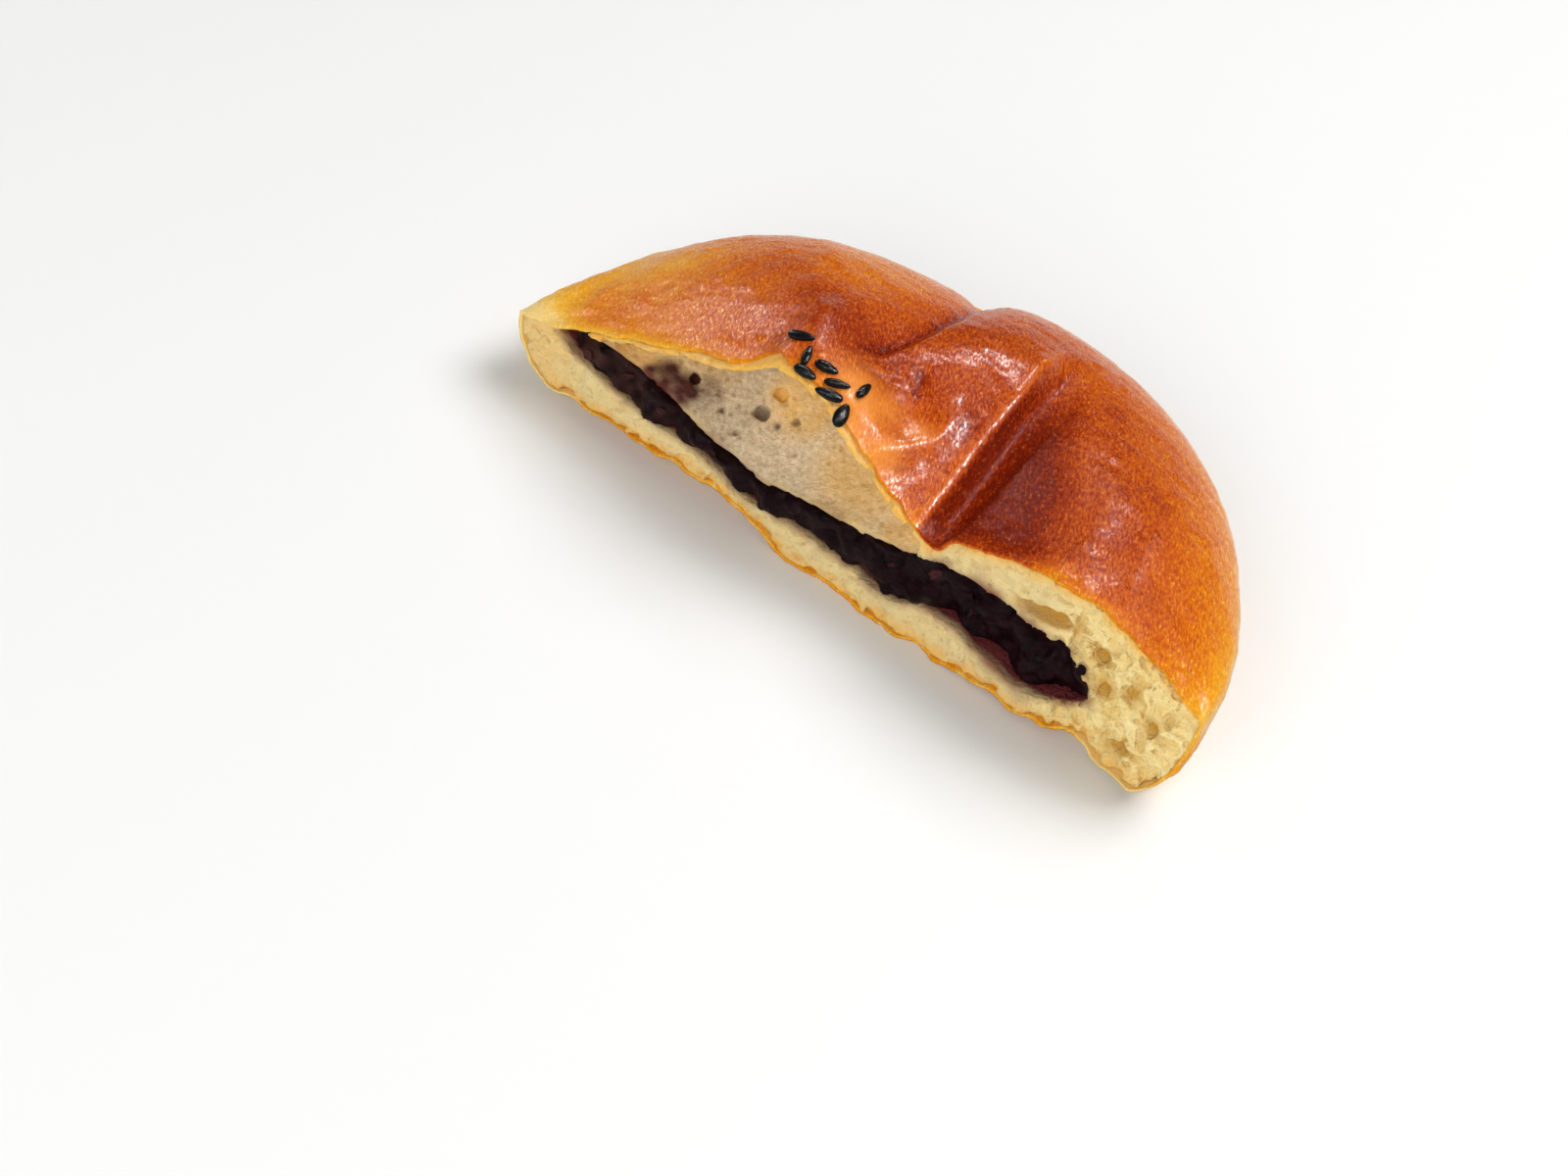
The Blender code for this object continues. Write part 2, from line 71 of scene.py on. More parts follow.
# Folds of the crust. Each runs along its path in plan, and has a height at its start and end
# (negative for a crease), a width on its left and right, and the share of its length over which
# it rises at the start and dies away at the end.
FOLDS = [
    dict(name="crease between the lobes", height=(-3.6, -0.9), width=(2.4, 5.0), fade=(0.0, 0.2),
         path=[(-9.8, 49), (-8.6, 42), (-6.8, 34.6), (-5.8, 27), (-5.5, 19.8), (-6.4, 12.8), (-9.5, 6)]),
    dict(name="crest of the left lobe", height=(1.0, 1.0), width=(3.6, 6.5), fade=(0.3, 0.25),
         path=[(-27, 36), (-22, 23), (-17.5, 14), (-13, 9.5), (-9.5, 7)]),
    dict(name="crest of the pleat", height=(1.6, 1.0), width=(1.2, 4.2), fade=(0.25, 0.1),
         path=[(6.4, 36), (7.4, 27), (8.2, 21), (8.6, 15), (9.1, 9), (9.6, 3), (9.8, -7)]),
    dict(name="crease of the pleat", height=(-1.4, -1.2), width=(5.0, 1.2), fade=(0.3, 0.1),
         path=[(8.8, 36), (9.9, 27), (10.8, 20), (11.6, 13), (12.0, 8), (12.4, 4), (13.4, -7)]),
    dict(name="curved crest before the pleat", height=(1.2, 0.9), width=(3.4, 1.6), fade=(0.15, 0.3),
         path=[(0.6, -2.0), (2.6, 3.4), (4.0, 6.6), (5.2, 9.8), (5.0, 12.8), (3.4, 17)]),
]

# Fine lines that stand on the folds: a path in plan, height (negative for a crease), width, and how
# much darker they are painted: painted shade in the creases and the dent, painted highlight on raised lines
FINE_LINES = [
    dict(name="lip over the crease between the lobes", height=0.30, width=0.55, bake=-0.10,
         path=[(-7.0, 40), (-5.0, 33), (-4.2, 26.5), (-3.9, 21.5), (-4.3, 16), (-5.2, 11), (-5.6, 7.5)]),
    dict(name="edge of the seed patch", height=-0.22, width=0.4, bake=0.14,
         path=[(-6.4, 7.0), (-4.6, 8.2), (-2.9, 9.6), (-1.4, 11.6)]),
    dict(name="wrinkle beside the seed patch", height=0.16, width=0.4, bake=-0.06,
         path=[(-6.0, 8.4), (-4.2, 9.6), (-2.6, 11.2), (-1.9, 12.8)]),
    dict(name="upper wrinkle beside the seed patch", height=-0.14, width=0.4, bake=0.08,
         path=[(-5.8, 10.0), (-4.0, 11.2), (-2.8, 13.0)]),
    dict(name="dent", height=-0.55, width=0.7, bake=0.28, path=[(-1.2, 15.0), (-0.7, 13.6), (0.3, 11.0)]),
    dict(name="small wrinkle at the torn edge", height=-0.3, width=0.4, bake=0.2,
         path=[(18.9, 3.6), (21.4, 1.0)]),
    dict(name="soft crease of the right lobe", height=-0.3, width=1.8, bake=0.06,
         path=[(28.6, 24.0), (30.2, 18.9), (32.4, 11.0), (34.0, 4.0)]),
]
FOLD_PATHS = {fold["name"]: fold["path"] for fold in FOLDS}

# Every fold but the soft one has a sharp line along its middle
SOFT_FOLD = "crest of the left lobe"
FOLD_SHARPNESS = 0.2

# Patches of crust that are baked more, or less where negative: centre in plan, radius, change
BAKED_PATCHES = [((-38.0, 14.0), 5.0, -0.18), ((-26.0, 17.0), 5.0, 0.12), ((-10.0, 12.0), 7.0, 0.14),
                 ((-16.5, 16.0), 4.0, 0.10), ((-3.5, 3.0), 4.6, -0.26), ((3.0, 8.6), 2.0, -0.10),
                 ((6.3, 13.0), 2.0, 0.12), ((29.0, 19.0), 2.2, 0.10), ((-5.0, 12.5), 2.4, 0.10)]

# Peach-coloured crust by the seeds: centre in plan, radius, strength
PEACH_PATCHES = [((-3.0, 4.5), 3.6, 1.0), ((-1.5, 0.5), 3.0, 0.8), ((2.6, 2.8), 2.2, 0.8),
                 ((-0.8, 7.0), 2.2, 0.7), ((3.4, 8.0), 1.6, 0.6)]

# Where the glaze shines most: centre in plan, radius, strength
SHINY_PATCHES = [((5.0, 22.0), 6.0, 0.60), ((-19.0, 10.0), 7.0, 0.25), ((24.0, 6.0), 5.0, 0.10)]
SHINY_FOLDS = {"crest of the left lobe": 0.2, "crest of the pleat": 0.75,
               "curved crest before the pleat": 0.75}
LEAST_SHINE = 0.22

# The dark side of the pleat lies between its crest and this line
DARK_SIDE_END = [(12.0, 33.0), (14.0, 26.0), (17.0, 18.0), (21.0, 11.0), (24.0, 4.0), (25.5, -4.0)]

# Round swellings (or dips) of the crust: centre, radius, height
SWELLINGS = [((-4.0, 3.5), 4.5, 1.0), ((0.0, 9.5), 3.6, -1.0), ((30.0, 14.0), 9.0, 0.8)]

# Bean paste: middle height and thickness along the tear, and its reach in plan
PASTE_MIDDLE = [(-41.6, 10.6), (-37.0, 9.9), (-28.0, 9.0), (-20.0, 7.4), (-11.0, 6.2), (0.0, 6.9),
                (8.0, 7.3), (16.0, 9.9), (22.0, 9.8), (28.0, 8.6), (35.6, 8.6)]
PASTE_THICKNESS = [(-41.6, 0.8), (-39.0, 3.4), (-28.0, 4.6), (-20.0, 2.6), (-11.0, 2.9), (0.0, 4.2),
                   (8.0, 6.0), (16.0, 8.0), (22.0, 9.0), (28.0, 8.8), (34.0, 5.6), (35.6, 1.6)]
PASTE_DEPTH = 37.0

# Air gap between the roof of crust and the paste
CAVITY_LEFT = -38.6
CAVITY_RIGHT = 10.8
CAVITY_DEPTH = [(-38.6, 1.5), (-31.0, 3.5), (-22.0, 9.5), (-12.0, 13.0), (-2.0, 12.0), (6.0, 6.5),
                (10.8, 1.5)]
ROOF_THICKNESS = 1.1
ROOF_GROWTH = 0.2
FLOOR_DIP = 0.35
FLOOR_SLOPE = 0.5
SLIT_HEIGHT = 0.9

# Bubbles that show in the crumb at the blunt end: centre (x, z), size (x, y, z), tilt in degrees
BUBBLES = [((28.0, 15.6), (7.6, 4.4, 2.2), 6), ((35.3, 14.6), (2.4, 3.2, 2.0), 20),
           ((37.2, 11.4), (1.9, 3.0, 2.8), -10), ((40.4, 13.2), (1.7, 2.6, 2.3), 15),
           ((40.8, 4.2), (3.4, 3.4, 1.8), 12), ((43.8, 10.0), (1.5, 2.4, 2.4), 0)]

# Dark marks on the wall of the air gap: centre, radius, strength. The large ones on the left are stains
# that the paste left; the small ones in the hollows, pores and slits, and the broad faint one, are painted
# shade
CAVITY_STAINS_AND_SHADE = [((-29.0, 1.2, 11.4), 1.1, 1.0), ((-26.9, 1.6, 11.4), 0.7, 1.0),
                 ((-24.7, 4.4, 11.8), 1.0, 1.1), ((-27.0, 2.0, 11.4), 2.2, 0.85),
                 ((-24.8, 2.4, 11.4), 2.0, 0.80), ((-22.6, 4.0, 11.4), 2.2, 0.45),
                 ((-21.2, 4.6, 11.6), 0.5, 0.9), ((-15.9, 6.4, 11.0), 1.0, 0.55),
                 ((-13.3, 6.2, 11.1), 0.5, 0.6), ((-11.7, 7.7, 12.0), 0.5, 0.6),
                 ((-22.3, 4.0, 11.5), 0.5, 0.6), ((-19.8, 3.6, 10.7), 0.5, 0.6),
                 ((-16.7, 3.0, 9.5), 0.5, 0.5), ((-20.0, 4.5, 11.0), 4.5, 0.16)]

# Parts of the crumb where the golden crust shines through: centre, radius, strength
CAVITY_GOLD = [((-31.5, 1.6, 12.6), 2.8, 0.75), ((-12.0, 9.5, 14.0), 4.0, 0.65),
               ((-15.5, 9.0, 12.9), 1.2, 1.0), ((0.0, 7.0, 13.0), 6.0, 0.60), ((8.0, 2.4, 12.5), 3.0, 0.55),
               ((-24.0, 7.0, 14.5), 3.0, 0.40), ((-28.0, 4.0, 14.0), 3.0, 0.40)]

# Hollows in the wall of the air gap: centre, radii, heading, tilt
CAVITY_HOLLOWS = [((-15.8, 6.3, 11.4), (1.1, 0.9, 1.4), 0, 10), ((-15.2, 8.8, 13.4), (1.0, 0.8, 1.0), 0, 0),
                  ((-21.4, 5.2, 11.4), (0.9, 0.7, 0.3), 10, 20),
                  ((-13.4, 6.5, 11.0), (0.7, 0.6, 0.25), 0, -30),
                  ((-11.6, 7.8, 12.2), (0.7, 0.6, 0.25), 0, -20),
                  ((-24.7, 4.4, 12.0), (0.9, 0.7, 0.7), 0, 0), ((-19.8, 3.9, 10.7), (0.5, 0.5, 0.4), 0, 0),
                  ((-22.3, 4.3, 11.5), (0.5, 0.5, 0.4), 0, 0), ((-16.7, 3.2, 9.6), (0.5, 0.5, 0.4), 0, 0)]

# Sesame seeds: centre in plan (x, y), heading in degrees, length, width
SEEDS = [((-12.2, 4.6), 16, 3.4, 1.3), ((-9.9, 2.7), 110, 2.8, 1.1), ((-8.7, 0.9), 8, 2.9, 1.45),
         ((-7.4, 3.1), 16, 2.9, 1.35), ((-5.3, 2.6), 31, 3.1, 1.05), ((-5.2, 1.1), 203, 3.4, 1.35),
         ((-2.9, 0.8), 116, 3.1, 1.75), ((-3.1, 4.8), 95, 2.9, 1.15)]
SEED_THICKNESS = 1.0
SEED_SINK = 0.28


# Curves and blends

def ease(share):
    """A smooth step from 0 to 1."""
    share = np.clip(share, 0.0, 1.0)
    return share * share * (3.0 - 2.0 * share)


def bell(distance, width):
    return np.exp(-(distance / width) ** 2)


def spot(x, y, centre, radius):
    """A round patch in plan, from 1 in its middle to 0 outside."""
    return bell(np.hypot(x - centre[0], y - centre[1]), radius)


def tent(distance, width, rounding=0.6):
    """A fold's cross section: a crest rounded over a short width, with long even flanks."""
    return np.exp(-(np.sqrt(distance ** 2 + rounding ** 2) - rounding) / width)


def through(points, x):
    """A smooth curve through points (x, value) that never overshoots them."""
    px = np.array([p[0] for p in points], float)
    py = np.array([p[1] for p in points], float)
    step = np.diff(px)
    slope = np.diff(py) / step
    tangent = np.zeros(len(px))
    same_way = slope[:-1] * slope[1:] > 0
    with np.errstate(divide="ignore", invalid="ignore"):
        mean = 2.0 * slope[:-1] * slope[1:] / (slope[:-1] + slope[1:])
    tangent[1:-1] = np.where(same_way, mean, 0.0)
    tangent[0], tangent[-1] = slope[0], slope[-1]
    x = np.clip(np.asarray(x, float), px[0], px[-1])
    i = np.clip(np.searchsorted(px, x, side="right") - 1, 0, len(step) - 1)
    t = (x - px[i]) / step[i]
    start = (1 + 2 * t) * (1 - t) ** 2 * py[i] + t * (1 - t) ** 2 * step[i] * tangent[i]
    end = t * t * (3 - 2 * t) * py[i + 1] + t * t * (t - 1) * step[i] * tangent[i + 1]
    return start + end


def smooth_path(points, count=24):
    """The same path with its corners rounded, as count + 1 points."""
    points = np.array(points, float)
    run = np.concatenate([[0.0], np.cumsum(np.hypot(*np.diff(points, axis=0).T))])
    stations = np.linspace(0.0, run[-1], count + 1)
    return np.stack([through(list(zip(run, points[:, axis])), stations) for axis in (0, 1)], axis=1)


def beside_path(x, y, path):
    """Distance to a path, which is positive on its left, and the share of its length passed."""
    nearest = np.full(x.shape, 1e9)
    side = np.ones(x.shape)
    share = np.zeros(x.shape)
    count = len(path) - 1
    for i in range(count):
        a = path[i]
        run = path[i + 1] - a
        length = math.hypot(*run)
        u = np.clip(((x - a[0]) * run[0] + (y - a[1]) * run[1]) / length ** 2, 0.0, 1.0)
        dx = x - (a[0] + u * run[0])
        dy = y - (a[1] + u * run[1])
        distance = np.hypot(dx, dy)
        closer = distance < nearest
        nearest = np.where(closer, distance, nearest)
        side = np.where(closer, np.sign(run[0] * dy - run[1] * dx), side)
        share = np.where(closer, (i + u) / count, share)
    return nearest * side, share


# Form of the bun

def angle_at(x, y):
    """Angle in plan from the right end of the tear, in degrees from 0 to 180."""
    return np.degrees(np.arctan2(np.abs(y), x))


def rim_radius(angle):
    """Radius in plan at an angle."""
    return (BUN_RADIUS + 1.4 * bell(angle, 14) - 0.6 * bell(angle - 32, 16) + 0.8 * bell(angle - 68, 22)
            - 1.5 * bell(angle - 112, 13) + 1.5 * bell(angle - 145, 20) + 0.6 * bell(180 - angle, 16))


def belt_height(angle):
    """Height of the widest part: high at the blunt right end."""
    return BELT_HEIGHT + 5.0 * bell(angle, 38)


def dome_power(angle):
    """Roundness of the dome: nearly a cone at the thin left end."""
    return DOME_POWER - 0.78 * bell(180 - angle, 26) + 0.1 * bell(angle, 40)


def foot_share(angle):
    return FOOT_SHARE - 0.02 * bell(180 - angle, 30)


def dome_height(angle, radius, share):
    """Height of the dome at a radius and its share of the way to the rim: even all round near the top."""
    power = DOME_POWER + (dome_power(angle) - DOME_POWER) * ease(radius / EVEN_TOP_RADIUS)
    belt = belt_height(angle)
    return belt + (DOME_HEIGHT - belt) * np.maximum(1.0 - share ** power, 0.0) ** (1.0 / power)


def dome_top(x, y):
    """Height of the plain dome, without folds."""
    angle, radius = angle_at(x, y), np.hypot(x, y)
    return dome_height(angle, radius, np.clip(radius / rim_radius(angle), 0.0, 1.0))


def fold_relief(x, y):
    """Height that the folds and swellings add to the dome."""
    relief = np.zeros(x.shape)
    for fold in FOLDS:
        offset, share = beside_path(x, y, smooth_path(fold["path"]))
        left, right = fold["width"]
        width = left + (right - left) * 0.5 * (1.0 - np.tanh(offset / 0.8))
        start, end = fold["height"]
        rise, fall = fold["fade"]
        height = start + (end - start) * share
        height = height * ease(share / max(rise, 1e-6)) * ease((1.0 - share) / max(fall, 1e-6))
        relief += height * tent(offset, width)
    for centre, radius, height in SWELLINGS:
        relief += height * spot(x, y, centre, radius)
    return relief


def crust_relief(x, y, height):
    """What is added to a point of the plain dome, so that it meets the crust line at the tear."""
    angle = angle_at(x, y)
    above_belt = height - belt_height(angle)
    tear = np.clip(x, CRUST_LINE[0][0], CRUST_LINE[-1][0])
    missing = through(CRUST_LINE, tear) - dome_top(tear, np.zeros_like(tear))
    reach = 14.0 + 5.0 * bell(x - 8.0, 9.0) + 3.0 * bell(x + 35.0, 16.0)
    shoulder = ease(above_belt / (2.5 + 2.5 * ease(np.abs(y) / 4.0)))
    folds = fold_relief(x, y) * ease(above_belt / 5.0) * (1.0 - 0.8 * bell(y, 2.5))
    return missing * bell(y, reach) * shoulder + folds


def crust_top(x, y):
    x, y = np.broadcast_arrays(np.asarray(x, float), np.asarray(y, float))
    plain = dome_top(x, y)
    return plain + crust_relief(x, y, plain)


def edge_lift(x, y):
    """How far the lowest skin is lifted off the table: most at the tear."""
    return through(EDGE_LIFT, x) * bell(y, EDGE_LIFT_REACH)


def shell_points(angle, share, side, samples=90):
    """Points of the bun's skin. share runs from 0 at the top to 1 in the middle of the base."""
    radius = rim_radius(angle)[:, None]
    belt = belt_height(angle)[:, None]
    foot = foot_share(angle)[:, None]
    top_share = np.sin(np.linspace(0.0, math.pi / 2, samples)[None, :])
    top_height = dome_height(angle[:, None], top_share * radius, top_share)
    low_turn = np.linspace(0.0, math.pi / 2, samples // 3)[None, 1:]
    low_radius = radius * (foot + (1.0 - foot) * np.cos(low_turn))
    low_height = belt * (1.0 - np.sin(low_turn))
    base_run = np.linspace(1.0, 0.0, samples // 3)[None, 1:]
    base_radius = radius * foot * base_run
    r = np.concatenate([radius * top_share, low_radius, base_radius], axis=1)
    z = np.concatenate([top_height, low_height, np.zeros_like(base_radius)], axis=1)
    run = np.cumsum(np.hypot(np.diff(r, axis=1), np.diff(z, axis=1)), axis=1)
    run = np.concatenate([np.zeros((len(angle), 1)), run], axis=1)
    wanted = share * run[:, -1]
    i = np.clip((run < wanted[:, None]).sum(axis=1) - 1, 0, run.shape[1] - 2)
    rows = np.arange(len(angle))
    t = (wanted - run[rows, i]) / (run[rows, i + 1] - run[rows, i])
    r = r[rows, i] * (1 - t) + r[rows, i + 1] * t
    z = z[rows, i] * (1 - t) + z[rows, i + 1] * t
    x = r * np.cos(np.radians(angle))
    y = r * np.sin(np.radians(angle)) * side
    upper = share * run[:, -1] < run[:, samples - 1]
    z = z + np.where(upper, crust_relief(x, y, z), 0.0)
    lift = edge_lift(x, y) * ease((BELT_HEIGHT - z) / BELT_HEIGHT)
    return x, y, z + np.where(upper, 0.0, lift)


def lumpiness(x, z, size, layer):
    """Even noise from about -0.7 to 0.7, with lumps of a given size."""
    return noise.noise(Vector((x / size, z / size, layer)))


def torn_relief(x, z):
    """Unevenness of the torn face, in y: rougher in the thick crumb of the blunt end."""
    roughness = 0.9 + 0.7 * float(ease((x - 28.0) / 8.0))
    return roughness * (0.8 * lumpiness(x, z, 7.0, 0.3) + 0.5 * lumpiness(x, z, 3.1, 4.7))


def torn_depth(x, z):
    """The same unevenness at many points."""
    return np.array([torn_relief(a, b) for a, b in zip(x, z)])


def paste_relief(x, z):
    """Unevenness of the paste's torn face: lumps of bean about 5 mm apart, deeper towards the right."""
    recess = 0.5 + 1.3 * float(ease((x - 8.0) / 12.0))
    return recess + 1.5 * lumpiness(x, z, 4.2, 9.1) + 0.8 * lumpiness(x, z, 2.2, 2.6)


def paste_section(x, margin):
    """Lowest and highest point of the paste at the tear, grown by a margin."""
    middle = through(PASTE_MIDDLE, x)
    half = 0.5 * through(PASTE_THICKNESS, x)
    return middle - half - margin, middle + half + margin


# Noise

def lattice_noise(points, size, seed):
    """Smooth noise from -1 to 1, with lumps of a given size, at points of shape (..., 3)."""
    place = np.asarray(points, float) / size
    cell = np.floor(place).astype(np.int64)
    blend = place - cell
    blend = blend * blend * (3.0 - 2.0 * blend)
    total = np.zeros(place.shape[:-1])
    for corner in range(8):
        step = np.array([corner & 1, (corner >> 1) & 1, (corner >> 2) & 1])
        key = cell + step
        mixed = key[..., 0] * 73856093 ^ key[..., 1] * 19349663 ^ key[..., 2] * 83492791 ^ seed * 26544357
        mixed = ((mixed ^ (mixed >> 13)) * 1274126177) & 0x7FFFFFFF
        value = ((mixed ^ (mixed >> 16)) & 0xFFFF) / 32767.5 - 1.0
        total += value * np.prod(np.where(step, blend, 1.0 - blend), axis=-1)
    return total


def line_noise(x, size, seed):
    """The same noise along one axis."""
    x = np.asarray(x, float)
    return lattice_noise(np.stack([x, np.full_like(x, 0.37), np.full_like(x, 0.61)], axis=-1), size, seed)


def torn_surface(relief, xs, zs, layers):
    """A relief of the torn face on a grid of places across it, with layers of noise (amount, size, seed)."""
    x, z = np.meshgrid(xs, zs, indexing="ij")
    face = np.stack([x, np.zeros_like(x), z], axis=-1)
    surface = np.array([[relief(a, b) for b in zs] for a in xs])
    for amount, size, seed in layers:
        surface += amount * lattice_noise(face, size, seed)
    return surface


# Meshes

def to_metres(points):
    """Points in millimetres in the tear's frame, as metres in the frame of the solids."""
    return (np.asarray(points, float) - (0.0, BASE_CENTRE_Y, 0.0)) * MM


def points_of(piece):
    """The points of a piece, back in millimetres in the tear's frame."""
    return np.array([point.co for point in piece.data.vertices]) / MM + (0.0, BASE_CENTRE_Y, 0.0)


def add_object(name, data):
    """An object at the origin of the scene that shows a mesh, a light or a camera."""
    thing = bpy.data.objects.new(name, data)
    bpy.context.scene.collection.objects.link(thing)
    return thing


def store(mesh, name, values, kind="FLOAT"):
    """Stores numbers or vectors on the points of a mesh."""
    layer = mesh.attributes.new(name, kind, "POINT")
    layer.data.foreach_set("value" if kind == "FLOAT" else "vector", np.asarray(values, np.float32).ravel())


def make_piece(name, points, faces, finish, attributes):
    """A smooth piece from points in millimetres, with numbers stored on its points."""
    mesh = bpy.data.meshes.new(name)
    mesh.from_pydata(to_metres(points).tolist(), [], faces)
    mesh.materials.append(finish)
    for key, values in attributes.items():
        store(mesh, key, values)
    mesh.shade_smooth()
    return add_object(name, mesh)


def vertex_normals(points, quads):
    """Outward directions at the points of a mesh of quads."""
    first = points[quads[:, 2]] - points[quads[:, 0]]
    second = points[quads[:, 3]] - points[quads[:, 1]]
    face = np.cross(first, second)
    normals = np.zeros_like(points)
    for corner in range(4):
        np.add.at(normals, quads[:, corner], face)
    return normals / np.maximum(np.linalg.norm(normals, axis=1, keepdims=True), 1e-9)


def grid_quads(columns, rows):
    """The quads between the points of a grid, which are counted along its columns."""
    i, j = np.meshgrid(np.arange(columns - 1), np.arange(rows - 1), indexing="ij")
    corner = (i * rows + j).ravel()
    return np.stack([corner, corner + rows, corner + rows + 1, corner + 1], axis=-1)


def turned_over(quads):
    """The same quads with their other side up."""
    return quads[:, [0, 3, 2, 1]]


CELL_CORNERS = [(i, j, k) for i in (0, 1) for j in (0, 1) for k in (0, 1)]


def corner_views(grid):
    """The values of a grid at each of the 8 corners of its cells."""
    a, b, c = np.array(grid.shape) - 1
    return [grid[i:i + a, j:j + b, k:k + c] for i, j, k in CELL_CORNERS]


def corners_inside(views):
    """How many corners of each cell are inside."""
    return sum(view.astype(np.int8) for view in views)


def fill_pinches(inside):
    """Fills the grid cells where two parts would meet in a single edge or corner."""
    while True:
        before = inside.sum()
        for axis in range(3):
            other = [a for a in range(3) if a != axis]
            plane = np.moveaxis(inside, other, (0, 1))
            a, b = plane[:-1, :-1], plane[1:, :-1]
            c, d = plane[:-1, 1:], plane[1:, 1:]
            pinched = (a == d) & (b == c) & (a != b)
            for part in (a, b, c, d):
                part |= pinched
        corners = corner_views(inside)
        count = corners_inside(corners)
        for i in range(4):
            ends = corners[i] & corners[7 - i]
            gaps = ~corners[i] & ~corners[7 - i]
            pinched = (ends & (count == 2)) | (gaps & (count == 6))
            for corner in corners:
                corner |= pinched
        if inside.sum() == before:
            return inside


def net_points(field, cells, axes):
    """A point in each cell that the surface crosses, in the middle of the crossings of its edges."""
    value = np.stack([field[tuple((cells + corner).T)] for corner in CELL_CORNERS], axis=1)
    place = np.zeros((len(cells), 3))
    crossings = np.zeros(len(cells))
    for a, first in enumerate(CELL_CORNERS):
        for b, second in enumerate(CELL_CORNERS):
            step = np.subtract(second, first)
            if step.min() < 0 or step.sum() != 1:
                continue
            crossed = (value[:, a] > 0) != (value[:, b] > 0)
            spread = np.where(crossed, value[:, a] - value[:, b], 1.0)
            share = np.clip(value[:, a] / spread, 0.05, 0.95)
            place += np.where(crossed[:, None], np.array(first) + share[:, None] * step, 0.0)
            crossings += crossed
    place /= crossings[:, None]
    points = np.empty_like(place)
    for axis, line in enumerate(axes):
        start = line[cells[:, axis]]
        points[:, axis] = start + place[:, axis] * (line[cells[:, axis] + 1] - start)
    return points


def net_quads(inside, number):
    """A quad round each grid edge that crosses the surface, between the numbered cells round the edge."""
    quads = []
    for axis in range(3):
        u, v = (axis + 1) % 3, (axis + 2) % 3
        low = [slice(None)] * 3
        high = [slice(None)] * 3
        low[axis], high[axis] = slice(None, -1), slice(1, None)
        edge = inside[tuple(low)].astype(np.int8) - inside[tuple(high)].astype(np.int8)
        at = np.argwhere(edge != 0)
        way = edge[tuple(at.T)]
        ring = []
        for du, dv in ((-1, -1), (0, -1), (0, 0), (-1, 0)):
            cell = at.copy()
            cell[:, u] += du
            cell[:, v] += dv
            ring.append(number[tuple(cell.T)])
        ring = np.stack(ring, axis=1)
        quads.append(np.where(way[:, None] > 0, ring, ring[:, ::-1]))
    return np.concatenate(quads)


def surface_net(field, xs, ys, zs):
    """A closed mesh of quads round the part of a grid where the field is above zero."""
    field = np.pad(field, 1, constant_values=-1.0).astype(np.float32)
    axes = [np.concatenate([[2 * line[0] - line[1]], line, [2 * line[-1] - line[-2]]])
            for line in (xs, ys, zs)]
    inside = fill_pinches(field > 0)
    field = np.where(inside & (field <= 0), 0.02, field)
    count = corners_inside(corner_views(inside))
    cells = np.argwhere((count > 0) & (count < 8))
    number = np.full(count.shape, -1, np.int64)
    number[tuple(cells.T)] = np.arange(len(cells))
    return net_points(field, cells, axes), net_quads(inside, number)


def main_island(points, quads):
    """The largest connected part of a mesh."""
    label = np.arange(len(points))
    while True:
        lowest = label[quads].min(axis=1)
        spread = label.copy()
        for corner in range(4):
            np.minimum.at(spread, quads[:, corner], lowest)
        spread = spread[spread]
        if np.array_equal(spread, label):
            break
        label = spread
    kept = label == np.bincount(label).argmax()
    renumber = np.cumsum(kept) - 1
    return points[kept], renumber[quads[kept[quads[:, 0]]]]


def soft_cut(field, tool, softness):
    """The field without the tool's inside, with a rounded rim."""
    h = np.clip(0.5 + 0.5 * (-tool - field) / softness, 0.0, 1.0)
    return -tool * (1.0 - h) + field * h - softness * h * (1.0 - h)


def cut_bubbles(field, xs, ys, zs, bubbles, softness=0.12):
    """Cuts ellipsoids (centre, radii, turn matrix) out of a field, each in its own part of the grid."""
    for centre, radii, turn in bubbles:
        reach = max(radii) + 0.6
        part = []
        for line, middle in zip((xs, ys, zs), centre):
            first, last = np.searchsorted(line, (middle - reach, middle + reach))
            part.append(slice(first, last))
        if any(s.stop <= s.start for s in part):
            continue
        offset = np.stack(np.meshgrid(xs[part[0]] - centre[0], ys[part[1]] - centre[1],
                                      zs[part[2]] - centre[2], indexing="ij"), axis=-1)
        away = np.linalg.norm((offset @ turn) / radii, axis=-1)
        tool = (1.0 - away) * min(radii)
        field[tuple(part)] = soft_cut(field[tuple(part)], tool, softness)


def turned(heading, tilt):
    """A matrix whose columns are the axes of something turned by a heading and a tilt, in degrees."""
    turn = Matrix.Rotation(math.radians(heading), 3, "Z") @ Matrix.Rotation(math.radians(-tilt), 3, "Y")
    return np.array(turn)


# Crust

CRUST_COLUMNS = 330
BLISTERS = 150
RIM_STEP = 0.002
CRUST_THICKNESS = 0.5
CRUST_GRAIN = 0.035
DEEPEST_CREASE = -0.38

# Seeds for the torn border over the tear and under it
ROOF_SEED = 11
BASE_SEED = 13


def crust_rows():
    """Turns round the tear's axis, as shares from its upper to its lower edge: closest where it shows."""
    upper = np.linspace(0.0, 0.5, 150)[1:]
    side = np.linspace(0.5, 0.62, 26)[1:]
    base = np.linspace(0.62, 0.955, 20)[1:]
    edge = np.linspace(0.955, 1.0, 14)[1:]
    upper = upper + RIM_STEP * (1 - 2 * upper)
    return np.concatenate([[0.0, 0.5 * RIM_STEP, RIM_STEP], upper, side, base, edge])


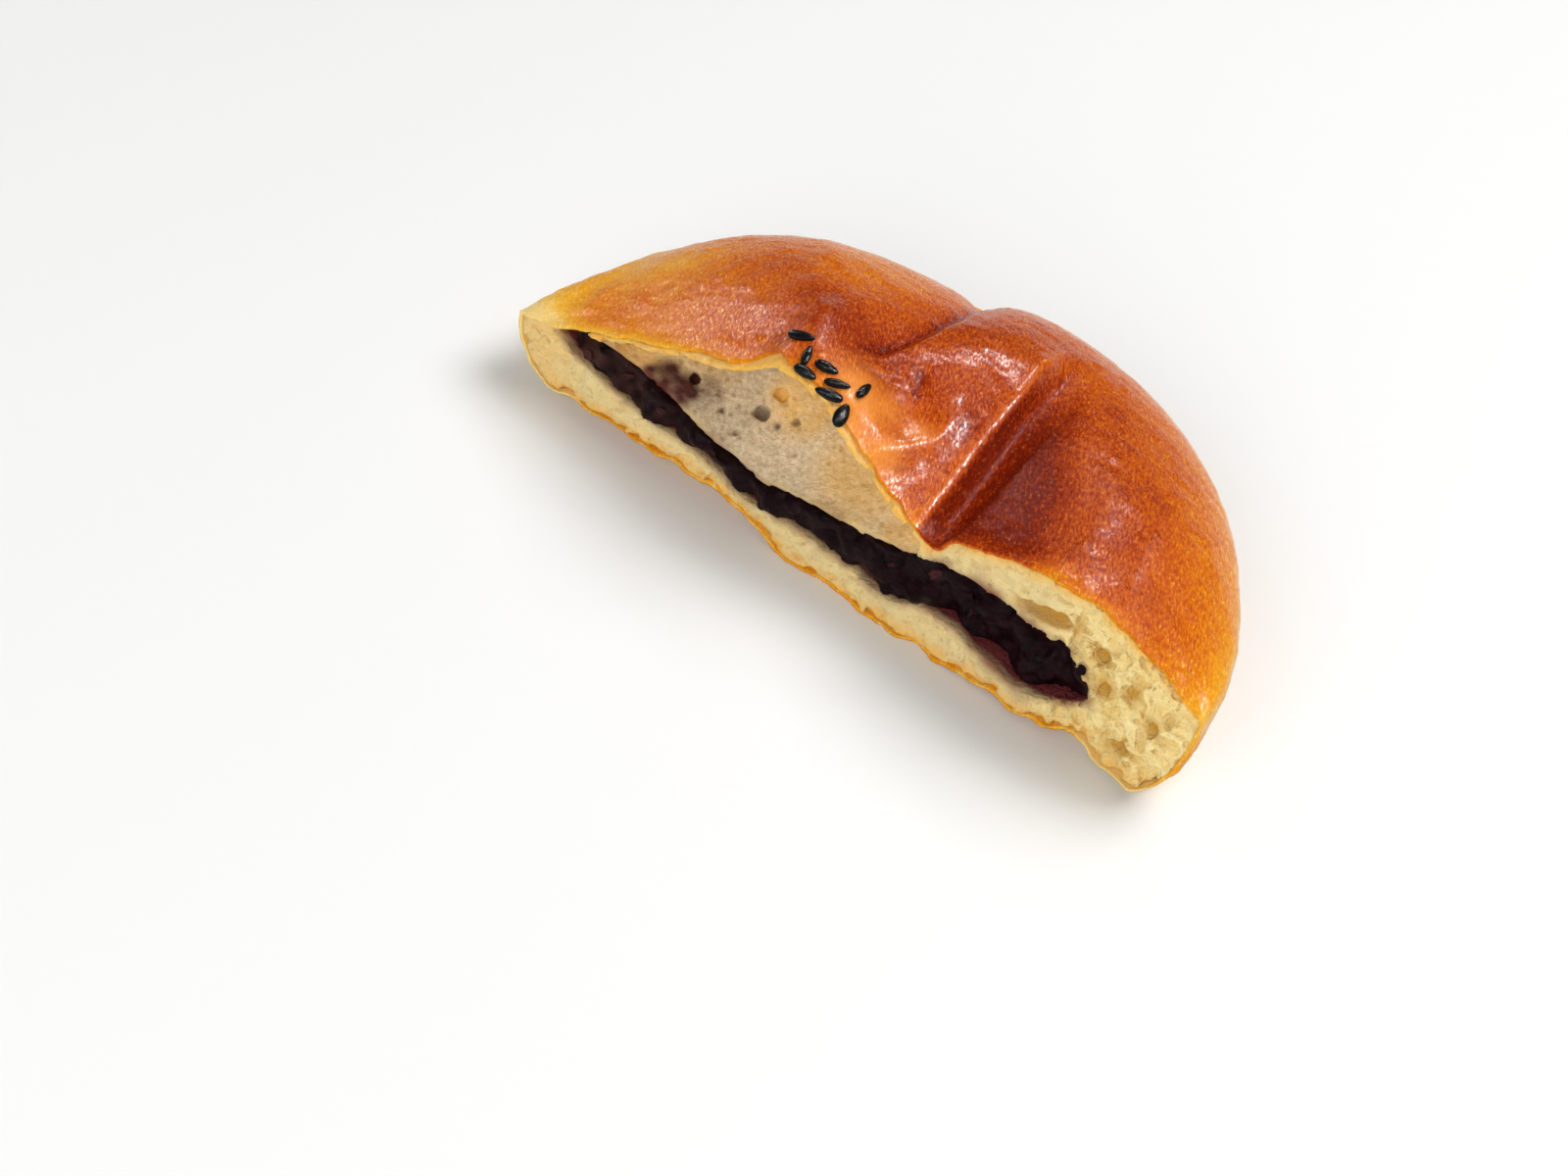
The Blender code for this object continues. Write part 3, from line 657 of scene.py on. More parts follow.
def skin_points(latitude, turn):
    """Points of the skin at a latitude towards the tear's ends and a turn from up to down, in radians."""
    ahead = np.sin(latitude)
    across = np.cos(latitude) * np.sin(turn)
    up = np.cos(latitude) * np.cos(turn)
    angle = angle_at(ahead, across)
    share = np.arccos(np.clip(up, -1.0, 1.0)) / math.pi
    shape = angle.shape
    side = np.where(across < 0, -1.0, 1.0)
    x, y, z = shell_points(angle.ravel(), share.ravel(), side.ravel())
    return np.stack([x, y, z], axis=-1).reshape(*shape, 3)


def ragged_edge(x, seed):
    """How far the crust's torn border strays along the tear."""
    flaking = 1.5 * bell(x + 14.0, 2.6) + 0.5 * bell(x + 22.0, 3.0) + 0.7 * bell(x + 4.0, 5.0)
    flaking += 0.45 * ease((x + 42.0) / 6.0) * ease((13.0 - x) / 4.0)
    stray = 0.28 * line_noise(x, 1.9, seed) + 0.2 * line_noise(x, 0.7, seed + 1)
    return stray + flaking if seed == ROOF_SEED else stray


def border_turns(latitude, start, seed):
    """The turn at which the skin meets the torn face, for each latitude."""
    turn = np.full_like(latitude, start)
    ease_out = ease((math.pi / 2 - np.abs(latitude)) / 0.12)
    for _ in range(8):
        p = skin_points(latitude, turn)
        aim = torn_depth(p[:, 0], p[:, 2]) + ragged_edge(p[:, 0], seed)
        miss = aim * ease_out - p[:, 1]
        arm = np.maximum(np.hypot(p[:, 1], 22.0) * np.cos(latitude), 3.0)
        turn = turn + np.cos(start) * 0.8 * miss / arm
    return turn


def line_profile(x, y, path, width, rounding):
    """A narrow line along a path, from 0 to 1, which dies away at both ends."""
    offset, share = beside_path(x, y, smooth_path(path))
    return tent(offset, width, rounding) * ease(share / 0.2) * ease((1.0 - share) / 0.2)


def fine_lines(x, y):
    """Height of the sharp crests, creases and wrinkles, and how much darker they are painted: painted
    highlight on crests, painted shade in creases.
    """
    relief = np.zeros(x.shape)
    bake = np.zeros(x.shape)
    for fold in FOLDS:
        if fold["name"] == SOFT_FOLD:
            continue
        line = line_profile(x, y, fold["path"], 0.6, 0.3)
        way = math.copysign(1.0, fold["height"][0])
        relief += way * FOLD_SHARPNESS * line
        # Painted highlight: crests paler. Painted shade: creases darker.
        bake -= way * (0.16 if way > 0 else 0.24) * line
    for fine in FINE_LINES:
        line = line_profile(x, y, fine["path"], fine["width"], 0.15)
        relief += fine["height"] * line
        # Painted shade in creases and the dent, painted highlight on raised lines
        bake += fine["bake"] * line
    return relief, bake


def crust_form(points):
    """Fine relief that stands on the crust, in millimetres: folds, puckers, blisters and grain."""
    x, y, z = points.T
    above = ease((z - 10.0) / 4.0)
    relief = fine_lines(x, y)[0] * above * (1.0 - 0.7 * bell(y, 1.2))
    relief += CRUST_GRAIN * lattice_noise(points, 0.9, 21) + 0.05 * lattice_noise(points, 2.2, 22)
    around = np.stack([np.arctan2(y, x) * 8.0, np.hypot(x, y) * 0.5, z * 1.6], axis=-1)
    band = bell(z - 9.5, 4.0) * ease((z - 1.0) / 3.0)
    relief += (0.05 + 0.24 * band) * lattice_noise(around, 2.0, 23)
    relief += 0.08 * band * lattice_noise(around, 0.8, 25)
    stretched = np.stack([x * 0.5, y * 1.4, z], axis=-1)
    relief += 0.06 * lattice_noise(stretched, 1.8, 24)
    rng = np.random.default_rng(5)
    for _ in range(BLISTERS):
        angle = rng.uniform(0, math.pi)
        radius = 46.0 * math.sqrt(rng.uniform(0.02, 1.0))
        centre = (radius * math.cos(angle), radius * math.sin(angle))
        size = rng.uniform(0.4, 0.9)
        height = rng.uniform(0.05, 0.16)
        relief += height * spot(x, y, centre, size) * (z > 8.0)
    return relief


RIGHT_LOBE_BAKE = [(0, 0.19), (1, 0.24), (3, 0.33), (5, 0.42), (8, 0.52), (12, 0.60), (18, 0.66), (30, 0.68)]
LEFT_LOBE_BAKE = [(0, 0.15), (2, 0.23), (6, 0.38), (12, 0.42), (20, 0.48), (34, 0.62)]


def dark_side(x, y):
    """Share of the pleat's dark side: right of its crest, as far as an even border."""
    crest = beside_path(x, y, smooth_path(FOLD_PATHS["crest of the pleat"]))[0]
    border, along = beside_path(x, y, smooth_path(DARK_SIDE_END))
    return ease((crest - 0.15) / 0.8) * ease((3.0 - border) / 6.5) * ease(along / 0.35) * (crest > 0.0)


def browning(points, relief):
    """How brown the crust is baked, from 0 for pale to 1 for dark."""
    x, y, z = points.T
    radius = np.hypot(x, y)
    angle = angle_at(x, y)
    from_rim = np.maximum(rim_radius(angle) - radius, 0.0)
    leftness = ease((-x - 4.0) / 10.0)
    top_bake = through(RIGHT_LOBE_BAKE, from_rim) * (1 - leftness)
    top_bake += through(LEFT_LOBE_BAKE, from_rim) * leftness
    for centre, size, change in BAKED_PATCHES:
        top_bake += change * spot(x, y, centre, size)
    # Painted highlight along crests and painted shade in creases
    top_bake += fine_lines(x, y)[1]
    top_bake += (0.95 - top_bake) * dark_side(x, y)
    torn_border = 0.20 * bell(y, 1.4) + 0.10 * bell(y, 3.0)
    top_bake -= torn_border * (1.0 - 0.6 * dark_side(x, y)) * (1.0 - 0.8 * ease((x - 33.0) / 8.0))
    side = 0.08 + 0.10 * ease((z - 2.5) / 4.0) + 0.12 * ease((z - 7.0) / 6.0)
    side += 0.12 * ease((x - 38.0) / 6.0) * bell(y, 14.0) * ease((z - 3.0) / 3.0)
    base = 0.36 + 0.12 * lattice_noise(points, 9.0, 31) - 0.26 * ease((radius - 34.0) / 9.0)
    bake = np.where(z > 13.0, top_bake, side + (top_bake - side) * ease((z - 6.0) / 7.0))
    bake = np.where(z < 1.5, base + (side - base) * ease(z / 1.5), bake)
    bake += 0.05 * lattice_noise(points, 6.0, 32)
    bake += 0.25 * np.clip(relief, -0.15, 0.15) * ease((z - 4.0) / 9.0)
    left_end = ease((-38.5 - x) / 4.0) * bell(y, 7.0) * ease((13.0 - z) / 3.0)
    foot = ease((x - 30.0) / 8.0) * ease((4.0 - z) / 2.5) * bell(y, 9.0)
    bake *= (1.0 - 0.9 * left_end) * (1.0 - 0.85 * foot)
    lower_edge = bell(y, 1.6) * ease((4.0 - z) / 2.0) * (1.0 - foot) * (1.0 - ease((-33.0 - x) / 5.0))
    bake += (0.28 + 0.2 * line_noise(x, 1.3, 33) - bake) * lower_edge
    return np.clip(bake, 0.0, 1.0)


def shine(points):
    """How much glaze lies on the crust: least in the creases, most on the crests."""
    x, y, _ = points.T
    share = np.full_like(x, LEAST_SHINE)
    for centre, radius, strength in SHINY_PATCHES:
        share += strength * spot(x, y, centre, radius)
    for name, strength in SHINY_FOLDS.items():
        share += strength * line_profile(x, y, FOLD_PATHS[name], 0.9, 0.6)
    return np.clip(share * (1.0 - 1.6 * dark_side(x, y)), 0.0, 1.0)


def peach_tint(points):
    """Share of the pinkish colour of the thin crust by the seeds."""
    x, y, z = points.T
    tint = np.zeros_like(x)
    for centre, radius, strength in PEACH_PATCHES:
        tint = np.maximum(tint, strength * spot(x, y, centre, radius))
    return tint * ease((z - 10.0) / 3.0)


def sheet_faces(columns, rows, inner_rows):
    """Faces of a closed sheet: an outer and an inner grid, each with a pole at both ends, and their rims."""
    left, right = columns * rows, columns * rows + 1
    inner = right + 1
    inner_left, inner_right = inner + columns * inner_rows, inner + columns * inner_rows + 1
    faces = grid_quads(columns, rows).tolist()
    faces += (turned_over(grid_quads(columns, inner_rows)) + inner).tolist()
    rims = ((0, 0, True), (rows - 1, inner_rows - 1, False))
    for a, b, flip in rims:
        for c in range(columns - 1):
            d = c + 1
            ring = [c * rows + a, d * rows + a, inner + d * inner_rows + b, inner + c * inner_rows + b]
            faces.append(ring[::-1] if flip else ring)
    for column, pole, inner_pole, flip in ((0, left, inner_left, False),
                                           (columns - 1, right, inner_right, True)):
        start, inner_start = column * rows, inner + column * inner_rows
        for r in range(start, start + rows - 1):
            faces.append([pole, r + 1, r] if flip else [r, r + 1, pole])
        for r in range(inner_start, inner_start + inner_rows - 1):
            faces.append([inner_pole, r, r + 1] if flip else [r + 1, r, inner_pole])
        for a, b, back in rims:
            ring = [start + a, pole, inner_pole, inner_start + b]
            faces.append(ring[::-1] if flip == back else ring)
    return faces


def make_crust(finish):
    """The browned skin: a thin closed sheet, fine where it shows, with a ragged torn border."""
    latitude = np.linspace(-math.pi / 2, math.pi / 2, CRUST_COLUMNS + 2)[1:-1]
    first = border_turns(latitude, 0.0, ROOF_SEED)
    last = border_turns(latitude, math.pi, BASE_SEED)
    turn = first[:, None] + (last - first)[:, None] * crust_rows()[None, :]
    grid = skin_points(np.broadcast_to(latitude[:, None], turn.shape), turn)
    poles = skin_points(np.array([-math.pi / 2, math.pi / 2]) * 0.99999, np.full(2, math.pi / 2))
    columns, rows = turn.shape
    outer = np.concatenate([grid.reshape(-1, 3), poles])
    normals = vertex_normals(outer, grid_quads(columns, rows))
    normals[-2:] = (-1, 0, 0), (1, 0, 0)
    relief = np.maximum(crust_form(outer), DEEPEST_CREASE)
    bake = browning(outer, relief)
    raised = outer + normals * relief[:, None]
    sparse = [*range(6), *range(6, rows - 6, 5), *range(rows - 6, rows)]
    keep = (np.arange(columns)[:, None] * rows + np.array(sparse)[None, :]).ravel()
    keep = np.concatenate([keep, [len(outer) - 2, len(outer) - 1]])
    x, y, z = outer.T
    thinning = bell(y, 2.0) * ease((5.0 - z) / 3.0) * (0.5 + 0.45 * line_noise(x, 1.7, 15))
    inner = (outer - normals * (CRUST_THICKNESS * (1.0 - thinning))[:, None])[keep]
    points = np.concatenate([raised, inner])
    points[:, 2] = np.maximum(points[:, 2], 0.0)
    bake = np.concatenate([bake, 0.5 * bake[keep]])
    piece = make_piece("crust", points, sheet_faces(columns, rows, len(sparse)), finish,
                       {"bake": bake, "peach": peach_tint(points), "shine": shine(points)})
    tidy_normals(piece)
    return piece


def tidy_normals(piece):
    """Turns the faces of a closed piece outwards."""
    bm = bmesh.new()
    bm.from_mesh(piece.data)
    bmesh.ops.recalc_face_normals(bm, faces=bm.faces)
    bm.to_mesh(piece.data)
    bm.free()


# Crumb

CRUMB_WIDTH = -48.6, 49.6
CRUMB_HEIGHT = -0.4, 28.0
CRUMB_CELL = 0.34
FACE_FRONT = -2.6
FACE_PORES = 1500
BLUNT_END_PORES = 230
AIR_GAP_PORES = 600
FLOOR_LIP = 0.4
SKIN_GAP = 0.42


def graded_line(start, fine_to, end, cell, growth=1.35, largest=3.2):
    """Places along an axis: even up to a point, then further and further apart."""
    line = list(np.arange(start, fine_to, cell))
    step = cell
    while line[-1] < end:
        step = min(step * growth, largest)
        line.append(line[-1] + step)
    return np.array(line)


def bun_field(xs, ys, zs):
    """Rough distance inside the skin of the bun."""
    x, y = np.meshgrid(xs, ys, indexing="ij")
    top = crust_top(x, y)
    angle = angle_at(x, y)
    radius, rim = np.hypot(x, y), rim_radius(angle)
    belt, foot = belt_height(angle), foot_share(angle)
    cosine = np.clip((radius / rim - foot) / (1.0 - foot), 0.0, 1.0)
    low = belt * (1.0 - np.sqrt(1.0 - cosine ** 2))
    low = low + edge_lift(x, y) * ease((BELT_HEIGHT - low) / BELT_HEIGHT)
    steep_top = np.sqrt(1.0 + sum(g ** 2 for g in np.gradient(top, xs, ys)))
    steep_low = np.sqrt(1.0 + sum(g ** 2 for g in np.gradient(low, xs, ys)))
    z = zs[None, None, :]
    under = (top[..., None] - z) / steep_top[..., None]
    over = (z - low[..., None]) / steep_low[..., None]
    return np.minimum(np.minimum(under, over), (rim - radius)[..., None])


def paste_wobble(x):
    """How the paste's band wanders up and down along the tear."""
    return 0.3 * line_noise(x, 2.6, 41) + 0.15 * line_noise(x, 1.1, 42)


def paste_field(xs, ys, zs, margin):
    """Rough distance inside the body of paste, left long in front of the tear."""
    left, right = PASTE_MIDDLE[0][0] - margin, PASTE_MIDDLE[-1][0] + margin
    centre, half_width = 0.5 * (left + right), 0.5 * (right - left)
    across = np.clip((xs - centre) / half_width, -0.999, 0.999)
    depth = ((PASTE_DEPTH + margin) * np.sqrt(1.0 - across ** 2))[:, None]
    y = np.maximum(ys, 0.0)[None, :]
    low, high = paste_section(xs, margin)
    middle = (0.5 * (low + high) + paste_wobble(xs))[:, None]
    half = (0.5 * (high - low))[:, None]
    share = np.clip(y / depth, 0.0, 1.0)
    fullness = np.sqrt(1.0 - share ** 3)
    rise = (9.0 - middle) * ease(y / 25.0)
    swell = 1.0 + 0.5 * ease(y / 12.0) * ease((5.5 - 2 * half) / 3.0)
    thick = np.where(y < depth, half * swell * fullness, -0.3)
    body = thick[..., None] - np.abs(zs[None, None, :] - (middle + rise)[..., None])
    ends = (half_width - np.abs(xs - centre))[:, None, None]
    return np.minimum(body, ends)


def air_gap_heights(x, y, wobble=0.0):
    """Floor and roof of the air gap, whose floor wanders with the paste."""
    floor = paste_section(x, 0.0)[1] + wobble - FLOOR_DIP + FLOOR_SLOPE * y
    roof = crust_top(x, y) - ROOF_THICKNESS - ROOF_GROWTH * y
    return floor, roof


def cavity_field(xs, ys, zs):
    """Rough distance inside the air gap over the paste."""
    x, y = np.meshgrid(xs, np.maximum(ys, 0.0), indexing="ij")
    depth = through(CAVITY_DEPTH, x)
    floor, roof = air_gap_heights(x, y, paste_wobble(x))
    floor += FLOOR_LIP * ease((y - 0.8) / 0.4)
    roof = np.maximum(roof, floor + SLIT_HEIGHT)
    half = 0.5 * (roof - floor)[..., None]
    middle = 0.5 * (roof + floor)[..., None]
    away = np.sqrt(((zs[None, None, :] - middle) / half) ** 2 + (y / depth)[..., None] ** 2)
    inside = (1.0 - away) * np.minimum(half, depth[..., None])
    ends = np.minimum(xs - CAVITY_LEFT, CAVITY_RIGHT - xs)[:, None, None]
    return np.minimum(inside, ends)


def random_pore(rng, centre, sizes, lengths, heights, most_heading, most_tilt):
    """An open cell round a centre: its size, how long and tall it is for its size, and its turns."""
    size = rng.uniform(*sizes)
    radii = np.array([size * rng.uniform(*lengths), size, size * rng.uniform(*heights)])
    heading = rng.uniform(-most_heading, most_heading)
    return centre, radii, turned(heading, rng.uniform(-most_tilt, most_tilt))


def crumb_pores(rng):
    """Open cells of the crumb: small all along the torn face, large and stretched at the blunt end."""
    pores = []
    for _ in range(FACE_PORES):
        x = rng.uniform(-47.0, 47.5)
        z = rng.uniform(0.6, 24.0)
        y = float(torn_relief(x, z)) + rng.uniform(-0.25, 0.3)
        low, high = paste_section(x, 0.8)
        if low < z < high and x < 36.5:
            continue
        pores.append(random_pore(rng, (x, y, z), (0.3, 0.62), (1.0, 1.9), (0.6, 0.9), 30, 20))
    for _ in range(BLUNT_END_PORES):
        x = rng.uniform(30.0, 48.0)
        z = rng.uniform(1.0, 19.0)
        y = float(torn_relief(x, z)) + rng.uniform(-0.2, 0.6)
        size = rng.uniform(0.4, 0.75)
        radii = np.array([size * rng.uniform(0.7, 1.0), size * 1.1, size * rng.uniform(1.0, 2.0)])
        lean = 25.0 + 30.0 * rng.uniform(-1, 1)
        pores.append(((x, y, z), radii, turned(rng.uniform(-40, 40), lean)))
    for _ in range(AIR_GAP_PORES):
        x = rng.uniform(CAVITY_LEFT, CAVITY_RIGHT)
        bend = rng.uniform(0.15, math.pi - 0.05)
        depth = float(through(CAVITY_DEPTH, x))
        y = depth * math.sin(bend)
        floor, roof = [float(height) for height in air_gap_heights(x, y)]
        z = floor + (max(roof, floor + SLIT_HEIGHT) - floor) * 0.5 * (1.0 + math.cos(bend))
        if z < floor + 1.8:
            continue
        pores.append(random_pore(rng, (x, y, z), (0.3, 0.6), (0.8, 1.5), (0.7, 1.1), 60, 40))
    return pores


def named_bubbles():
    """The large bubbles that the solid has too, and the hollows in the wall of the air gap."""
    bubbles = []
    for (x, z), size, tilt in BUBBLES:
        centre = (x, float(torn_relief(x, z)), z)
        bubbles.append((centre, np.array(size) * 0.5, turned(0.0, tilt)))
    for centre, radii, heading, tilt in CAVITY_HOLLOWS:
        bubbles.append((centre, np.array(radii), turned(heading, tilt)))
    return bubbles


def make_crumb(finish):
    """The white inside of the bun, torn open, with its cells, the air gap and room for the paste."""
    xs = np.arange(*CRUMB_WIDTH, CRUMB_CELL)
    zs = np.arange(*CRUMB_HEIGHT, CRUMB_CELL)
    ys = graded_line(FACE_FRONT, 2.4, 14.0, CRUMB_CELL, 1.12, 1.0)
    ys = np.concatenate([ys, graded_line(ys[-1] + 1.2, ys[-1] + 1.3, 49.0, 1.2)])
    gap = SKIN_GAP + 0.7 * ease((ys - 2.5) / 3.0)
    field = bun_field(xs, ys, zs) - gap[None, :, None]
    torn = torn_surface(torn_relief, xs, zs, [(0.16, 1.4, 51), (0.1, 0.7, 52)])
    field = np.minimum(field, ys[None, :, None] - torn[:, None, :])
    field = soft_cut(field, paste_field(xs, ys, zs, 0.12), 0.1)
    near = ys < 16.0
    grid = np.stack(np.meshgrid(xs, ys[near], zs, indexing="ij"), axis=-1)
    cavity = cavity_field(xs, ys[near], zs)
    cavity += 0.35 * lattice_noise(grid, 3.4, 53) + 0.12 * lattice_noise(grid, 1.2, 54)
    cavity = np.where(np.abs(cavity) < 3.0, cavity, np.sign(cavity) * 3.0)
    field[:, near] = soft_cut(field[:, near], cavity, 0.25)
    rng = np.random.default_rng(3)
    cut_bubbles(field, xs, ys, zs, crumb_pores(rng) + named_bubbles())
    points, quads = main_island(*surface_net(field, xs, ys, zs))
    return make_piece("crumb", points, quads.tolist(), finish, crumb_attributes(points))


def rind_share(points):
    """Nearness to the skin, where the crumb is golden: strongest at the edge of the roof."""
    x, y, z = points.T
    top = crust_top(x, y)
    roof_edge = ease((x + 42.0) / 6.0) * ease((14.0 - x) / 5.0) * bell(y, 2.5)
    rind = bell(np.maximum(top - z - 0.4, 0.0) * (1.0 - 0.45 * roof_edge), 1.1)
    rind += bell(np.maximum(z - edge_lift(x, y) - 0.4, 0.0), 1.1)
    rind *= 0.85 + 0.3 * lattice_noise(points, 1.2, 64)
    rind *= 1.0 - 0.8 * ease((-40.0 - x) / 4.0)
    rind += 0.30 * ease((-37.5 - x) / 5.0)
    return rind + 0.35 * roof_edge * bell(x + 11.0, 7.0) * ease((4.0 + z - top) / 2.0)


def stain_share(points, depth):
    """Stains of the paste: the wall of its pocket, and a soft border round it."""
    x, _, z = points.T
    low, high = paste_section(x, 0.0)
    off_paste = np.maximum(np.maximum(low - z, z - high), 0.0)
    off_ends = np.maximum(np.maximum(PASTE_MIDDLE[0][0] - x, x - PASTE_MIDDLE[-1][0]), 0.0)
    uneven = 0.5 + 0.5 * lattice_noise(points, 2.4, 61)
    reach = 0.5 + 1.1 * uneven * (0.4 + 0.6 * ease((x - 10.0) / 12.0))
    stain = bell(np.hypot(off_paste, off_ends), reach) * (0.25 + 0.5 * uneven)
    stain *= 1.0 + 0.35 * ease((x - 12.0) / 8.0)
    pocket = ease((depth - 0.15) / 1.4) * (off_paste < 0.7) * (z < high) * (off_ends < 0.7)
    return np.maximum(stain, pocket * (0.95 + 0.15 * uneven))


def bubble_shade_share(points, depth):
    """Painted shade, golden brown, in the large bubbles and in the hollows of the blunt end, deeper behind
    the torn face.
    """
    x, y, z = points.T
    golden = 0.35 * ease((depth - 0.5) / 0.9) * ease((x - 28.0) / 6.0) * (y < 4.0)
    for (bx, bz), size, _ in BUBBLES:
        away = np.hypot((x - bx) / (0.5 * size[0] + 0.4), (z - bz) / (0.5 * size[2] + 0.4))
        golden = np.maximum(golden, bell(away, 1.1) * ease(depth / 0.5) * (y < 5.0))
    return golden


def crumb_attributes(points):
    """Numbers from 0 to 1 for the finish, by name."""
    x, y, z = points.T
    depth = np.clip(y - torn_depth(x, z), 0.0, 3.0)
    # The wall of the air gap, which the finish paints greyer and darker as painted shade
    wall = ease((depth - 0.6) / 1.2) * (x < CAVITY_RIGHT) * (z > paste_section(x, 0.0)[0])
    # Stains of the paste, and painted shade in the hollows, pores and slits and deep in the air gap
    brown = strongest_mark(points, CAVITY_STAINS_AND_SHADE) * (1.2 + 0.4 * lattice_noise(points, 1.0, 62))
    gold = strongest_mark(points, CAVITY_GOLD) * (0.9 + 0.2 * lattice_noise(points, 1.6, 63))
    # Where openness is low the finish also paints a darker tan, as painted shade
    shares = {"rind": rind_share(points), "stain": stain_share(points, depth),
              "golden": bubble_shade_share(points, depth), "brown": brown, "gold": gold, "wall": wall,
              "openness": (0.16 + 0.84 * ease((x - 27.0) / 8.0)) * (1.0 - 0.75 * wall)}
    return {name: np.clip(share, 0, 1) for name, share in shares.items()}


def strongest_mark(points, marks):
    """The strongest of some round marks at each point."""
    strength = np.zeros(len(points))
    for centre, radius, amount in marks:
        away = np.linalg.norm(points - centre, axis=1) / radius
        strength = np.maximum(strength, amount * ease(1.6 - away))
    return strength


# Paste

PASTE_WIDTH = -42.2, 36.4
PASTE_HEIGHT = 2.4, 16.2
PASTE_CELL = 0.3
PASTE_RECESS = 0.35
BEANS = 70


def bean_lobes(x, z):
    """How far whole and broken beans stand out of the torn paste."""
    rng = np.random.default_rng(8)
    lobes = [((7.3, 7.0), 2.5, 1.9, 20.0, 1.2)]
    for _ in range(BEANS):
        cx = rng.uniform(-41.0, 35.5)
        low, high = paste_section(cx, 0.0)
        cz = rng.uniform(float(low), float(high))
        size = rng.uniform(0.9, 2.3)
        width = size * rng.uniform(0.55, 0.8)
        lobes.append(((cx, cz), size, width, rng.uniform(-60, 60), rng.uniform(0.2, 0.8)))
    bulge = np.zeros_like(x)
    for (cx, cz), length, width, heading, height in lobes:
        c, s = math.cos(math.radians(heading)), math.sin(math.radians(heading))
        along = ((x - cx) * c + (z - cz) * s) / length
        across = ((z - cz) * c - (x - cx) * s) / width
        share = 1.0 - along ** 2 - across ** 2
        bulge = np.maximum(bulge, height * np.sqrt(np.clip(share, 0.0, 1.0)))
    return bulge


def make_paste(finish):
    """The filling, with lumps of bean in its torn face."""
    xs = np.arange(*PASTE_WIDTH, PASTE_CELL)
    zs = np.arange(*PASTE_HEIGHT, PASTE_CELL)
    ys = graded_line(FACE_FRONT, 3.4, 37.6, PASTE_CELL)
    field = paste_field(xs, ys, zs, 0.0)
    torn = torn_surface(paste_relief, xs, zs, [(0.22, 1.1, 71), (0.12, 0.6, 72)])
    torn += PASTE_RECESS - bean_lobes(*np.meshgrid(xs, zs, indexing="ij"))
    field = np.minimum(field, ys[None, :, None] - torn[:, None, :])
    points, quads = main_island(*surface_net(field, xs, ys, zs))
    thin = ease((-18.0 - points[:, 0]) / 16.0) * (0.15 + 0.40 * lattice_noise(points, 1.3, 73))
    return make_piece("paste", points, quads.tolist(), finish, {"thin": np.clip(thin, 0, 1)})


# Node trees

def new_tree(name, kind, inputs, outputs):
    """An empty node tree with named sockets, and the sockets that bring its inputs."""
    tree = bpy.data.node_groups.new(name, kind)
    for way, sockets in (("INPUT", inputs), ("OUTPUT", outputs)):
        for label, socket in sockets.items():
            tree.interface.new_socket(label, in_out=way, socket_type=f"NodeSocket{socket}")
    return tree, tree.nodes.new("NodeGroupInput").outputs


def add_node(tree, kind, inputs=(), **settings):
    """A node with its settings. Its inputs are values, or sockets of other nodes that feed them."""
    node = tree.nodes.new(kind)
    for name, value in settings.items():
        setattr(node, name, value)
    for label, value in dict(inputs).items():
        if isinstance(value, Number):
            value = value.socket
        if isinstance(value, bpy.types.NodeSocket):
            tree.links.new(value, node.inputs[label])
        else:
            node.inputs[label].default_value = value
    return node


class Number:
    """A number that nodes work out all over a surface, for plain sums."""

    def __init__(self, tree, socket):
        self.tree = tree
        self.socket = socket

    def reckon(self, operation, first, second):
        node = add_node(self.tree, "ShaderNodeMath", {0: first, 1: second}, operation=operation)
        return Number(self.tree, node.outputs[0])

    def __add__(self, other):
        return self.reckon("ADD", self, other)

    def __sub__(self, other):
        return self.reckon("SUBTRACT", self, other)

    def __rsub__(self, other):
        return self.reckon("SUBTRACT", other, self)

    def __mul__(self, other):
        return self.reckon("MULTIPLY", self, other)

    def __truediv__(self, other):
        return self.reckon("DIVIDE", self, other)

    def __rtruediv__(self, other):
        return self.reckon("DIVIDE", other, self)

    def at_least(self, other):
        return self.reckon("MAXIMUM", self, other)

    def at_most(self, other):
        return self.reckon("MINIMUM", self, other)

    def clamped(self):
        """The same number, kept from 0 to 1."""
        self.socket.node.use_clamp = True
        return self


# Shapes that repeat

def plain_mesh(carrier, name, tree, inputs):
    """Runs a node tree on an object and gives the result as a plain piece. The object is removed."""
    modifier = carrier.modifiers.new("nodes", "NODES")
    modifier.node_group = tree
    for item in tree.interface.items_tree:
        if item.in_out == "INPUT" and item.name in inputs:
            modifier[item.identifier] = inputs[item.name]
    bpy.context.view_layer.update()
    evaluated = carrier.evaluated_get(bpy.context.evaluated_depsgraph_get())
    mesh = bpy.data.meshes.new_from_object(evaluated)
    mesh.name = name
    bpy.data.objects.remove(carrier)
    mesh.shade_smooth()
    return add_object(name, mesh)


def stored_on_points(tree, name, kind="FLOAT_VECTOR"):
    node = add_node(tree, "GeometryNodeInputNamedAttribute", {"Name": name}, data_type=kind)
    return node.outputs["Attribute"]


def place_shapes(tree, given, inputs):
    """Ends a tree: puts its shape on points, makes one mesh of the copies and gives it its finish."""
    shape = add_node(tree, "GeometryNodeObjectInfo", {"Object": given["Shape"]})
    placed = add_node(tree, "GeometryNodeInstanceOnPoints", {"Instance": shape.outputs["Geometry"], **inputs})
    real = add_node(tree, "GeometryNodeRealizeInstances", {"Geometry": placed.outputs["Instances"]})
    painted = add_node(tree, "GeometryNodeSetMaterial", {"Geometry": real.outputs["Geometry"],
                                                         "Material": given["Finish"]})
    add_node(tree, "NodeGroupOutput", {"Mesh": painted.outputs["Geometry"]})
    return tree


